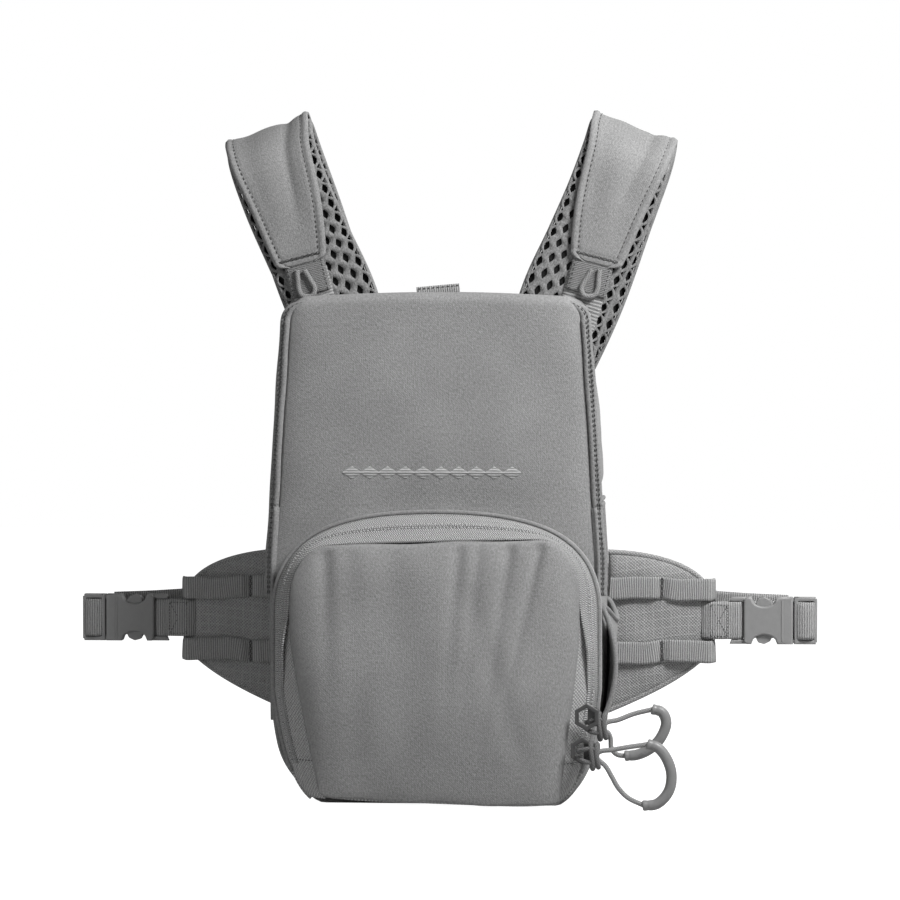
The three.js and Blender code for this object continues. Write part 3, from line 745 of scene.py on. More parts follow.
def lid_sides():
    """The lid's bulging side panels, and the binding round them."""
    for side_name, sign in SIDES:
        z = np.linspace(LID_HINGE + 0.8, PACK_TOP - 7, 44)
        y = np.linspace(FRONT + 3, BACK - 0.2, 30)
        grid = np.zeros((len(z), len(y), 3))
        q = (y - y[0]) / (y[-1] - y[0])
        tall = (z - z[0]) / (z[-1] - z[0])
        bulge = 4.4 * np.sin(math.pi * np.clip(q * 1.05, 0, 1)) ** 0.9
        profile = smoothstep(tall, 0, 0.14) * (1 - smoothstep(tall, 0.45, 1.0) * 0.95)
        base = pack_half_width(z) - 1.4
        grid[..., 0] = base[:, None] + bulge[None] * profile[:, None]
        grid[..., 0] += 0.5 * ripple(y[None] * 2.2, z[:, None] * 1.4, 3.0 + sign) * profile[:, None]
        grid[..., 1] = y[None]
        grid[..., 2] = z[:, None]
        grid[..., 0] *= sign
        piece = cloth(f"lid_side_skin_{side_name}", grid, 1.6, "shell", flip=sign > 0)
        place(piece, "lid", [f"lid_side_{side_name}"])

        upper = ("", LID_HINGE - 0.3, PACK_TOP - 15, "lid")
        lower = ("_low", 106, LID_HINGE + 0.2, "pack")
        for strip, (inset, y_off, radius) in enumerate(LID_STRIPS):
            for part, z0, z1, body in (upper, lower):
                heights = np.linspace(z0, z1, 70)
                x = sign * (pack_half_width(heights) - inset)
                path = np.stack([x, np.full(70, FRONT + y_off), heights], -1)
                path[:, 0] += sign * 0.25 * ripple(heights, heights, 1.0 + strip)
                if body == "lid":
                    angle = np.linspace(0, math.pi / 2, 10)
                    turn = 9.5 - strip * 0.8
                    centre_x = path[-1, 0] - sign * turn
                    arc = np.stack([centre_x + sign * turn * np.cos(angle),
                                    np.full(10, FRONT + y_off + 1),
                                    heights[-1] + turn * np.sin(angle)], -1)
                    path = resample(np.concatenate([path, arc[1:]]), 90)
                tube(f"lid_strip{strip}{part}_{side_name}", path, (0, 1, 0), radius, "binding", body,
                     squash=1.3)
                row = path + np.array([sign * (1.15 - 0.9 * strip), -0.9 - 0.8 * strip, 0])
                stitches(f"lid_seam{strip}{part}_{side_name}", row, (0, -1, 0), body, 1.7, 0.7, 0.5)

    # the rim of the open lid
    for side_name, sign in SIDES:
        y = np.linspace(FRONT + 2, BACK - 0.6, 30)
        path = np.stack([np.full(30, sign * (PACK_HALF - 1.2)), y, np.full(30, LID_HINGE + 1.3)], -1)
        tube(f"lid_rim_{side_name}", path, (0, 0, 1), 1.2, "binding", "lid", sides=8)


def lid_tab():
    """The short webbing tab that lifts the lid, at its back edge."""
    a, b = low("lid_pull_tab"), high("lid_pull_tab")
    y = (a.y + b.y) / 2
    left = np.array([a.x, y, b.z - 1.6])
    right = np.array([b.x, y, b.z + 0.4])
    path = resample([left - [0, 0, 5], right - [0, 0, 5]], 24)
    tab = swept("lid_tab", path, (0, 0, 1), flat_section(9.5, 1.6), "webbing")
    place(tab, "lid", ["lid_pull_tab"])
    row = resample([left - [0, 1, 1.2], right - [0, 1, 1.2]], 24)
    stitches("lid_tab_stitches", row, (0, -1, 0), "lid", 1.6, 0.8, 0.4)


def lid_motif():
    """A plain embroidered band of lozenges low on the lid, in satin stitch, with no lettering."""
    centre, z_mid = -1.3, 166.5
    half, tall = 44.0, 3.5
    lozenges = 10
    points, faces, uvs = [], [], []
    for x in np.arange(centre - half, centre + half, 0.5):
        phase = (x - centre + half) / (2 * half) * lozenges
        reach = 0.5 + (tall - 0.5) * (1 - abs(2 * (phase % 1) - 1))
        first = len(points)
        for share in (-1.0, -0.8, 0.0, 0.8, 1.0):
            z = z_mid + share * reach
            surface = float(lid_front_y(x / 78, x, np.array([z]))[0])
            rise = 0.05 if abs(share) == 1 else -0.35
            for dx, dy in ((-0.26, 0.25), (0, 0), (0.26, 0.25)):
                points.append((x + dx, surface + rise + dy, z))
                uvs.append((z, dx))
        for r in range(4):
            for c in range(2):
                a = first + r * 3 + c
                faces.append((a, a + 1, a + 4, a + 3))
    band = new_object("lid_motif", points, faces, "pale_thread", uvs)
    place(band, "lid")


# ---- front pocket ----
def arch(side_inset, top_inset, count, start):
    """The pocket's outline as a path from the lower left, over the arch, to the lower right."""
    w = POCKET_HALF - side_inset
    top = POCKET_TOP - top_inset
    corner = bezier((w - 24, POCKET_BOTTOM), (w - 9, POCKET_BOTTOM + 4), (w - 3, 36), (w, 60), 60)
    foot_x = np.interp(start, corner[:, 1], corner[:, 0])
    corner = np.vstack([[foot_x, start], corner[corner[:, 1] > start]])
    over = bezier((w, 98), (w, top - 12), (w * 0.645, top), (0, top), 60)
    right = np.concatenate([corner, over])
    half = np.concatenate([right * [-1, 1], right[::-1][1:]])
    line = resample(half, count)
    line[:, 0] += POCKET_CENTRE
    return line


def with_depth(line, y):
    return np.stack([line[:, 0], np.broadcast_to(np.asarray(y, float), len(line)), line[:, 1]], -1)


def panel_half(z, sign):
    """Half the panel's width at a height. Its left seam slants in further than its right."""
    slant = np.where(np.asarray(sign) < 0, 15.4, 10.0)
    return PANEL_HALF - slant * np.clip((88 - np.asarray(z, float)) / 82, 0, 1) ** 1.15


def panel_side(sign, count, z0, z1):
    """The front panel's seam down one side: straight, then slanting in towards the bottom."""
    z = np.linspace(z0, z1, count)
    return np.stack([POCKET_CENTRE + sign * panel_half(z, sign), z], -1)


def front_pocket():
    count = 200
    outer = arch(0, 0, count, 6)
    rear_y = FRONT + 0.6
    depth = np.linspace(rear_y, ZIPPER_Y, 9)
    ring = np.stack([with_depth(outer, y) for y in depth], 1)
    ring[..., 0] += 0.7 * np.sin(np.linspace(0, math.pi, 9))[None] * np.sign(ring[..., 0] - POCKET_CENTRE)
    gusset = cloth("pocket_gusset_skin", ring, 1.4, "oxford", flip=True)
    place(gusset, "pack", ["pocket_gusset"])

    # piping that frames the zipper
    piping_path = with_depth(arch(0.4, 0.3, count, 20), ZIPPER_Y - 0.6)
    tube("pocket_piping", piping_path, (0, 1, 0), 1.15, "binding", "pack")

    # zipper: two tape halves and the coil between them, in a band that slopes to the front
    outer_line, inner_line = zipper_lines()
    from_centre = outer_line[:, 0] - POCKET_CENTRE
    span = np.abs(from_centre) - panel_half(outer_line[:, 1], from_centre)
    shown = np.abs(outer_line - inner_line).sum(1)
    reach = np.where(outer_line[:, 1] < 95, np.clip(shown / np.maximum(span, 1), 0, 1), 1)

    def band(q):
        y = ZIPPER_Y - 1.2 + (PANEL_Y + 0.6 - ZIPPER_Y + 1.0) * (reach * q) ** 0.75
        return with_depth(outer_line * (1 - q) + inner_line * q, y)

    def strip(q0, q1, steps):
        return np.stack([band(q) for q in np.linspace(q0, q1, steps)], 1)

    place(cloth("zipper_tape_outer", strip(0.0, 0.415, 6), 0.9, "tape", flip=True),
          "pack", ["zipper_tape_fixed"])
    place(cloth("zipper_tape_inner", strip(0.425, 1.0, 8), 0.9, "tape", flip=True),
          "pocket_flap", ["zipper_tape_flap"])
    tube("zipper_coil_line", band(0.42) + [0, 0.35, 0], (0, 1, 0), 0.8, "tape", "pack",
         ["zipper_coil"], sides=8)
    for tag, q, body in (("fixed", 0.36, "pack"), ("flap", 0.48, "pocket_flap")):
        stitches(f"zipper_coil_{tag}", band(q) + [0, -0.1, 0], (0, -1, 0), body, 1.15, 0.55, 0.8,
                 material="pale_thread")


def zipper_lines():
    """The zipper's outer and inner edges, as matching paths from the lower left to the lower right."""
    w, top = POCKET_HALF - 1.0, POCKET_TOP - 1.2
    foot = bezier((w - 24, POCKET_BOTTOM), (w - 9, POCKET_BOTTOM + 4), (w - 3, 36), (w, 60), 80)
    foot = foot[foot[:, 1] >= FLAP_SPLIT]
    over = bezier((w, 98), (w, top - 12), (w * 0.645, top), (0, top), 120)
    turn = over[over[:, 0] > 54]
    rest = over[over[:, 0] <= 54]
    outer = [resample(foot, 30), resample([(w, 60), (w, 98)], 30), resample(turn, 40), resample(rest, 40)]

    gap, side_gap, corner, rise = 8.6, 4.6, 20.0, 26.0
    w_in, top_in = w - gap, PANEL_TOP + 0.6
    angle = np.linspace(0, math.pi / 2, 40)
    bend = np.stack([w_in - corner + corner * np.cos(angle), top_in - rise + rise * np.sin(angle)], -1)
    side = resample([(w - side_gap, 60), (w_in, top_in - rise)], 30)
    side[:, 0] = w - side_gap - (gap - side_gap) * smoothstep(side[:, 1], 78, top_in - rise)
    inner = [resample(foot - [side_gap, 0], 30), side, bend,
             resample([(w_in - corner, top_in), (0, top_in)], 40)]

    def whole(parts, tilt):
        right = np.concatenate([parts[0]] + [part[1:] for part in parts[1:]])
        line = np.concatenate([right * [-1, 1], right[::-1][1:]])
        line[:, 1] += tilt * line[:, 0] * smoothstep(line[:, 1], 90, 125)
        line[:, 0] += POCKET_CENTRE
        return line
    return whole(outer, 0.0), whole(inner, 0.03)


# Where each gather starts along the top seam, how wide and deep it is, and how it leans.
PLEATS = ((-52, 3.8, 2.1, 0.03), (-40, 5, 0.9, 0.05), (-20, 7, 0.7, 0.05), (14, 3.4, 2.0, -0.08),
          (24, 3.2, 1.3, -0.1), (39, 3.2, 2.6, -0.14), (54, 2.8, 2.8, -0.22))


# The panel's two long soft folds: depth, lean, place across, width, and the heights over which
# each comes in and goes out.
LONG_FOLDS = ((0.9, 0.30, 34, 7, (10, 40), (90, 120)), (0.8, -0.16, -34, 8, (8, 30), (70, 110)))


def front_panel():
    """The soft front of the pocket. It hangs in shallow folds from its gathered top seam."""
    nu, nv = 120, 110
    corner, corner_height = 20.0, 26.0
    v = np.linspace(0, 1, nv)
    grid = np.zeros((nu, nv, 3))
    for i, share in enumerate(np.linspace(0, 1, nu)):
        s = 2 * share - 1
        past_corner = (abs(s) * PANEL_HALF - PANEL_HALF + corner) / corner
        drop = 0.0
        if past_corner > 0:
            drop = corner_height * (1 - math.sqrt(max(0.0, 1 - past_corner ** 2.1)))
        z_top = PANEL_TOP + 0.2 + 2.0 * s - drop + 0.5 * math.sin(s * 9.0) * (1 - abs(s))
        z_foot = 6.0 - 1.8 * s + 3.2 * abs(s) ** 14 + 0.5 * math.sin(9 * s + 1)
        z = z_foot + (z_top - z_foot) * v
        x = POCKET_CENTRE + s * panel_half(z, s)

        # fullness grows from the panel's sewn edges to its middle
        across = np.clip(1 - abs(s) ** 5, 0, 1) ** 0.7
        rise = np.clip((z_top - z) / 22, 0, 1)
        from_foot = math.pi / 2 * np.clip((z - z_foot + 1) / 52, 0, 1)
        fullness = across * np.sqrt(1 - (1 - rise) ** 2) * np.sin(from_foot) ** 0.55
        y = PANEL_Y - 0.6 - (5.4 + 2.8 * np.exp(-((z - 66) / 40) ** 2)) * fullness

        # the gathers under the top seam, then two long soft folds
        fade = np.clip((z_top - z) / 5, 0, 1) * np.exp(-(z_top - z) / 34)
        for fold, width, depth, lean in PLEATS:
            y += depth * fade * np.exp(-((x - fold - lean * (z_top - z)) / width) ** 2)
        y += 0.7 * ripple(x * 1.2, z * 0.55, 5.0) * fullness
        for depth, lean, start, width, foot, top in LONG_FOLDS:
            valley = np.exp(-((x + lean * (z - 60) - start) / width) ** 2)
            y += depth * valley * smoothstep(z, *foot) * (1 - smoothstep(z, *top))
        grid[i] = np.stack([x, y, z], -1)
    panel = cloth("pocket_panel_skin", grid, 1.6, "shell")
    bend_between(panel, (0, PANEL_Y, FLAP_SPLIT - 5),
                 (0, PANEL_Y, FLAP_SPLIT + 5), "pocket_front_panel")


def pocket_gussets():
    """Coarse cloth between the front panel's slanting seams and the zipper, and round the bottom."""
    rows, steps, top = 80, 12, 112
    for side_name, sign in SIDES:
        foot = 6.4 - 1.2 * sign
        z = np.linspace(foot, top, rows)
        inner = panel_side(sign, rows, foot, top)
        outline = arch(0.8, 0.8, 900, foot)
        half = outline[450:] if sign > 0 else outline[:450][::-1]
        order = np.argsort(half[:, 1])
        outer_x = np.interp(z, half[order, 1], half[order, 0])
        q = np.linspace(0, 1, steps)
        x = outer_x[:, None] * (1 - q) + (inner[:, 0] - sign * 2)[:, None] * q
        y = ZIPPER_Y - 0.3 - (ZIPPER_Y - PANEL_Y - 0.4) * q ** 0.75
        grid = sheet(x, y, z[:, None])
        piece = cloth(f"flap_gusset_skin_{side_name}", grid, 1.0, "oxford", flip=sign < 0)
        bend_between(piece, (0, PANEL_Y, FLAP_SPLIT - 4),
                     (0, PANEL_Y, FLAP_SPLIT + 4), f"flap_gusset_{side_name}")
        row = int(np.argmin(np.abs(z - FLAP_SPLIT - 1.5)))
        stitches(f"gusset_seam_{side_name}", grid[row, 2:-1] + [0, -0.3, 0], (0, -1, 0), "pack",
                 1.3, 0.5, 0.45)
        down = grid[row:, -1] + [-sign * 0.7, -0.6, 0]
        stitches(f"panel_seam_{side_name}", down[:-14], (0, -1, 0), "pocket_flap", 1.5, 0.7, 0.42)

    # the pocket's underside, from the rear gusset to the front panel
    x = np.linspace(-1, 1, 60)[:, None]
    t = np.linspace(0, 1, 12)[None]
    grid = sheet(POCKET_CENTRE + x * (POCKET_HALF - 21 - 6 * t),
                 ZIPPER_Y + 2 + (PANEL_Y - ZIPPER_Y - 2.4) * t,
                 5.6 - 1.6 * x + 1.2 * np.abs(x) ** 6)
    place(cloth("pocket_underside", grid, 1.2, "oxford"), "pack", ["pocket_bottom"])


def node_copy(node, name, material):
    """A node's CAD solid as a new object in a material of its own."""
    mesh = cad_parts[node].data.copy()
    mesh.materials.clear()
    mesh.materials.append(MATERIALS[material])
    piece = bpy.data.objects.new(name, mesh)
    bpy.context.scene.collection.objects.link(piece)
    return piece


# ---- moulded pieces: the CAD solid with rounded edges ----
def moulded_copy(node, body, material, radius):
    piece = node_copy(node, f"{node}_moulded", material)
    with edited(piece.data) as shape:
        bmesh.ops.remove_doubles(shape, verts=shape.verts, dist=0.01 * MM)
        bmesh.ops.dissolve_limit(shape, angle_limit=math.radians(3), verts=shape.verts,
                                 edges=shape.edges)
        sharp = [e for e in shape.edges if e.is_manifold and e.calc_face_angle(0) > math.radians(32)]
        bmesh.ops.bevel(shape, geom=sharp, offset=radius * MM, segments=3, profile=0.6,
                        affect="EDGES", clamp_overlap=True)
    piece.data.shade_smooth()
    normals = piece.modifiers.new("weighted", "WEIGHTED_NORMAL")
    normals.keep_sharp = True
    return place(piece, body, [node])


def mirrored(points, sign):
    return np.array(points, float) * [sign, 1, 1]


def band_between(name, path, width, thickness, material, body, replaces=(), across=(0, 0, 1),
                 count=60):
    line = smooth_path(path, count)
    strap = swept(name, line, across, flat_section(width, thickness, 0.15, 14), material)
    return place(strap, body, replaces)


def box_stitch(name, x0, x1, z0, z1, y, body, facing=-1):
    """The usual sewn box with a cross inside it, on cloth that faces forward (-1) or back (1)."""
    corners = [(x0, y, z0), (x1, y, z0), (x1, y, z1), (x0, y, z1), (x0, y, z0)]
    outline = np.concatenate([resample(np.array(pair), 12)[:-1] for pair in zip(corners, corners[1:])])
    rows = {"box": outline, "rise": resample([corners[0], corners[2]], 12),
            "fall": resample([corners[1], corners[3]], 12)}
    for tag, row in rows.items():
        stitches(f"{name}_{tag}", row, (0, facing, 0), body, 1.1, 0.5, 0.34)


def bar_tack(name, top, bottom, body, normal=(0, -1, 0)):
    """A dense zigzag tack from one point to another."""
    count = 2 * max(3, int(np.linalg.norm(np.array(top) - np.array(bottom)) / 0.55))
    line = resample(np.array([top, bottom]), count)
    along = unit(line[-1] - line[0])
    side = np.cross(along, normal) * 0.55
    line = line + side * np.where(np.arange(count) % 2, 1, -1)[:, None]
    stitches(name, line, normal, body, 1.2, 0.05, 0.36)


# ---- wings, with their rows of webbing ----
ROW_TACK = {"right": 110.0, "left": 101.5}


def wings():
    for side_name, sign in SIDES:
        body = f"wing_{side_name}"
        inner, outer = WING_INNER - 0.4, WING_OUTER - 1.5
        upper = bezier((inner, 123.5), (inner + 22, 123), (outer - 2, 117), (outer, 98), 70)
        lower = bezier((inner, 42.5), (inner + 20, 51), (outer - 12, 61), (outer, 75), 70)
        steps = 60
        u = np.linspace(0, 1, 70) ** 0.8
        x = inner + (outer - inner) * u
        top = np.interp(x, upper[:, 0], upper[:, 1])
        bottom = np.interp(x, lower[:, 0], lower[:, 1])
        v = np.linspace(0, 1, steps)
        z = bottom[:, None] + (top - bottom)[:, None] * v[None]
        edge = np.sqrt(np.clip(1 - np.abs(2 * v - 1) ** 3.2, 0, 1))[None]
        end = np.sqrt(np.clip((1 - u ** 7) * (1 - (1 - u) ** 14), 0, 1))[:, None]
        middle = (WING_FRONT + WING_BACK) / 2
        quilt = 0.9 * (np.exp(-((z - 105.7) / 5) ** 2) + np.exp(-((z - 72.3) / 5) ** 2))
        puff = (3.6 - quilt + 0.6 * ripple(x[:, None] * 1.9, z * 1.7, 2 + sign)) * edge * end
        for face, amount in (("front", -1.0), ("back", 0.55)):
            grid = sheet(sign * x[:, None], middle + amount * puff + 0.2 * amount, z)
            flip = (sign > 0) != (face == "front")
            piece = cloth(f"{body}_{face}", grid, 0.6, "ripstop" if face == "front" else "lining", flip=flip)
            place(piece, body, [body] if face == "front" else [])
        rim = np.concatenate([np.stack([x, top], -1), np.stack([x, bottom], -1)[::-1]])
        rim = resample(rim, 150)
        path = np.stack([sign * rim[:, 0], np.full(150, middle), rim[:, 1]], -1)
        tube(f"{body}_edge", path, (0, 1, 0), 1.5, "ripstop", body)

        for row in ("upper", "lower"):
            node = f"pals_{row}_{side_name}"
            wing_row(node, side_name, sign, body)

        webbing_path = [(130.5, -10.4), (134, -11.6), (138, -11.9), (145, -10.6), (149.6, -10.1), (151.2, -8),
                        (149.6, -5.9), (144, -5.5), (138, -5.5)]
        path = mirrored([(px, py, BUCKLE_Z) for px, py in webbing_path], sign)
        band_between(f"buckle_webbing_{side_name}_woven", path, WEBBING, 1.5, "webbing", body,
                     [f"buckle_webbing_{side_name}"])
        x0, x1 = sorted((sign * 134.5, sign * 143.5))
        box_stitch(f"wing_tack_{side_name}", x0, x1, BUCKLE_Z - 8, BUCKLE_Z + 8, -12.5, body)


def wing_row(node, side_name, sign, body):
    """One row of narrow webbing, tacked down so that it stands off in loops."""
    a, b = low(node), high(node)
    z = (a.z + b.z) / 2
    width = b.z - a.z
    inner = min(abs(a.x), abs(b.x)) - 0.6
    tack = ROW_TACK[side_name]
    x = np.linspace(inner, WING_OUTER, 150)
    distance = np.abs(x - tack)
    lift = 1.3 * smoothstep(distance, 0.5, 5)
    curl = 5.0 * smoothstep(x, WING_OUTER - 3.2, WING_OUTER) ** 1.6
    y = -11.9 - lift + curl
    lean = -0.022 * (x - inner) * np.sign(z - BUCKLE_Z) + 0.5 * ripple(x * 2, x, z)
    path = np.stack([sign * x, y, z + lean], -1)
    strap = swept(f"{node}_woven", path, (0, 0, 1), flat_section(width, 1.3, 0.1, 12), "webbing")
    place(strap, body, [node])
    here = np.array([sign * tack, -12.75, float(np.interp(tack, x, z + lean))])
    half = np.array([0, 0, width / 2 - 0.3])
    bar_tack(f"{node}_tack", here + half, here - half, body)


# ---- buckles ----
def plate(name, outline, sign, depth, body, replaces=(), radius=0.8):
    """A flat buckle moulding: an outline of (x, z) points cut right through, with rounded edges."""
    outline = np.asarray(outline, float) * [sign, 1] + [0, BUCKLE_Z]
    count = len(outline)
    points = [(x, y, z) for y in (BUCKLE_Y - depth / 2, BUCKLE_Y + depth / 2) for x, z in outline]
    faces = [tuple(range(count)), tuple(range(2 * count - 1, count - 1, -1))]
    faces += [(k, (k + 1) % count, (k + 1) % count + count, k + count) for k in range(count)]
    piece = new_object(name, points, faces, "plastic")
    with edited(piece.data) as shape:
        rims = [e for e in shape.edges if abs(e.verts[0].co.y - e.verts[1].co.y) < 0.1 * MM]
        bmesh.ops.bevel(shape, geom=rims, offset=radius * MM, segments=3, profile=0.5, affect="EDGES")
    piece.data.shade_smooth()
    piece.modifiers.new("weighted", "WEIGHTED_NORMAL").keep_sharp = True
    return place(piece, body, replaces)


def notch(x0, x1, edge, depth):
    """The curved window in a buckle's long edge, where a latch shows."""
    t = np.linspace(0, 1, 14)
    return np.stack([x0 + (x1 - x0) * t, edge - depth * np.clip(np.sin(math.pi * t), 0, 1) ** 0.45], -1)


def female_shell(side_name, sign, body):
    half = BUCKLE_HALF
    top = np.concatenate([[(151.6, half - 1.4), (153, half)], notch(155.4, 168.6, half, 4.8),
                          [(176.6, half)]])
    outline = np.concatenate([top, (top * [1, -1])[::-1]])
    name = f"buckle_female_{side_name}"
    plate(f"{name}_shell", outline, sign, 9.0, body, [name], 1.1)
    # a raised step across the shell, and the frame that the wing's webbing goes round
    step = [(170.6, half - 1.6), (171.6, half - 1.6), (171.6, 1.6 - half), (170.6, 1.6 - half)]
    plate(f"{name}_step", step, sign, 9.8, body, radius=0.3)
    for tag, z0, z1 in (("upper", half - 2.4, half), ("lower", -half, 2.4 - half)):
        bar = [(144.4, z0), (153.0, z0), (153.0, z1), (145.4, z1)]
        plate(f"{name}_{tag}", bar, sign, 5.0, body)
    pin = [(147.6, half - 1.5), (150.0, half - 1.5), (150.0, 1.5 - half), (147.6, 1.5 - half)]
    plate(f"{name}_bar", pin, sign, 2.4, body)


def male_frame(side_name, sign, body):
    """The frame that stays outside the shell, with the strap's adjusting slot."""
    half = BUCKLE_HALF
    bars = {
        "inner": [(177.2, -half), (179.4, -half), (179.4, half), (177.2, half)],
        "outer": [(187.0, -half), (188.9, 1.2 - half), (188.9, half - 1.2), (187.0, half)],
        "upper": [(178.2, half - 2.2), (188.2, half - 2.2), (188.2, half), (178.2, half)],
        "lower": [(178.2, -half), (188.2, -half), (188.2, 2.2 - half), (178.2, 2.2 - half)],
    }
    for tag, corners in bars.items():
        plate(f"buckle_male_{side_name}_{tag}", corners, sign, 6.4, body, radius=0.6)


def buckles():
    for side_name, sign in SIDES:
        wing, male = f"wing_{side_name}", f"buckle_male_{side_name}"
        female_shell(side_name, sign, wing)
        moulded_copy(f"buckle_male_{side_name}", male, "plastic", 0.6)
        male_frame(side_name, sign, male)
        for arm in ("upper", "lower"):
            node = f"latch_arm_{arm}_{side_name}"
            moulded_copy(node, node, "plastic", 0.5)
        loop = [(156, -1.6), (176, -1.6), (184, -2.9), (187.4, -5.2), (188, -8), (187.2, -11), (183, -12.4),
                (179, -11), (177.4, -8), (176, -4.6)]
        path = mirrored([(px, py, BUCKLE_Z) for px, py in loop], sign)
        band_between(f"adjuster_loop_{side_name}_woven", path, WEBBING, 1.4, "webbing", male,
                     [f"adjuster_loop_{side_name}"])
        route = [(174, 0.6, 92), (150, 1.6, 93), (125, 6, 95), (100, 14, 100), (76, 24, 108), (56, 31.5, 116),
                 (38, 32, 119)]
        line = smooth_path(mirrored(route, sign), 100)
        strap = swept(f"side_strap_{side_name}_woven", line, (0, 0, 1), flat_section(WEBBING, 1.4, 0.15, 14),
                      "webbing")
        bend_between(strap, (sign * 60, 30, 114), (sign * 150, 2, 93),
                     f"side_strap_{side_name}")
        x0, x1 = sorted((sign * 40, sign * 48))
        box_stitch(f"side_strap_tack_{side_name}", x0, x1, 111, 126, 33.0, "pack", facing=1)


# ---- open mesh over foam ----
def diamond_holes(half_width, length, cell=5.0, pitch=8.4, hole=(1.6, 2.8)):
    """Flat faces of a lattice of diamonds, as (across, along) points."""
    points, index, faces = [], {}, []

    def vertex(t, s):
        key = (round(float(np.clip(t, -half_width, half_width)), 3), round(float(np.clip(s, 0, length)), 3))
        if key not in index:
            index[key] = len(points)
            points.append(key)
        return index[key]

    columns = int(half_width / cell)
    for i in range(-columns, columns + 1):
        for j in range(-1, int(length / pitch) + 2):
            t, s = cell * i, pitch * j + (pitch / 2 if i % 2 else 0)
            ring = [(cell, 0), (cell / 2, pitch / 4), (0, pitch / 2), (-cell / 2, pitch / 4),
                    (-cell, 0), (-cell / 2, -pitch / 4), (0, -pitch / 2), (cell / 2, -pitch / 4)]
            outer = [vertex(t + a, s + b) for a, b in ring]
            clear = abs(t) + hole[0] < half_width - 0.4 and hole[1] + 1 < s < length - hole[1] - 1
            if not clear:
                unique = list(dict.fromkeys(outer))
                if len(unique) > 2:
                    faces.append(tuple(unique))
                continue
            arm, rise = hole
            inner = [vertex(t + a, s + b) for a, b in
                     [(arm, 0), (arm * 0.62, rise * 0.5), (0, rise), (-arm * 0.62, rise * 0.5),
                      (-arm, 0), (-arm * 0.62, -rise * 0.5), (0, -rise), (arm * 0.62, -rise * 0.5)]]
            for k in range(8):
                m = (k + 1) % 8
                faces.append((outer[k], outer[m], inner[m], inner[k]))
    return np.array(points), faces


def lattice(name, half_width, length, surface, thickness):
    """Open diamond mesh laid over a surface and given some thickness."""
    flat, faces = diamond_holes(half_width, length)
    made = new_object(name, surface(flat[:, 0], flat[:, 1]), faces, "mesh", flat)
    with edited(made.data) as shape:
        bmesh.ops.dissolve_degenerate(shape, dist=0.01 * MM, edges=shape.edges)
    shell = made.modifiers.new("thickness", "SOLIDIFY")
    shell.thickness = thickness * MM
    shell.offset = 0
    return place(made, "pack")


def path_surface(path, across, lift):
    run = distance_along(path)
    _, side, normal = path_frames(path, across)

    def surface(t, s):
        def value(field):
            return np.stack([np.interp(s, run, field[:, k]) for k in range(3)], -1)
        return value(path) + value(side) * t[:, None] + value(normal) * lift
    return surface, run[-1]


# ---- shoulder straps ----
STRAP_PATH = [(47, -1.6, 208), (60, -1.6, 253), (72.5, -1.6, 280), (83.5, -1.6, 305), (91.5, 1, 327),
              (94, 12, 337), (91.5, 24, 327), (82, 27.6, 300), (66, 27.6, 255),
              (46, 33.3, 213), (31, 33.5, 183)]
COVER_PATH = [(75.5, -6.0, 271), (84, -6.0, 303), (92.4, -3.4, 328), (95.2, 12, 341.4), (92.4, 28, 328),
              (82.5, 32.0, 300)]


def shoulder_straps():
    for side_name, sign in SIDES:
        lean = np.array([math.cos(STRAP_LEAN) * sign, 0, -math.sin(STRAP_LEAN)])
        path = smooth_path(mirrored(STRAP_PATH, sign), 140)
        half = STRAP_WIDTH / 2
        for face, lift in (("outer", 2.1 * sign), ("inner", -2.1 * sign)):
            surface, length = path_surface(path, lean, lift)
            lattice(f"strap_mesh_{face}_{side_name}", half - 0.4, length, surface, 1.0)
        section = flat_section(STRAP_WIDTH - 3.5, 2.8, 0.0, 12)
        core = swept(f"strap_foam_{side_name}", path, lean, section, "foam")
        place(core, "pack", [f"shoulder_strap_{side_name}"])
        _, side, normal = path_frames(path, lean)
        for edge in (-1, 1):
            line = path + side * edge * (half - 0.6)
            tube(f"strap_edge{edge + 1}_{side_name}", line, normal, 2.3, "mesh", "pack",
                 sides=12, squash=0.42)
        for row in (3, 7):
            middle = path[-row] + [0, 2.9, 0]
            reach = side[-row] * (half - 2.5)
            bar_tack(f"strap_yoke_tack{row}_{side_name}", middle - reach, middle + reach, "pack", (0, 1, 0))
        strap_cover(side_name, sign, lean)
        strap_fittings(side_name, sign)


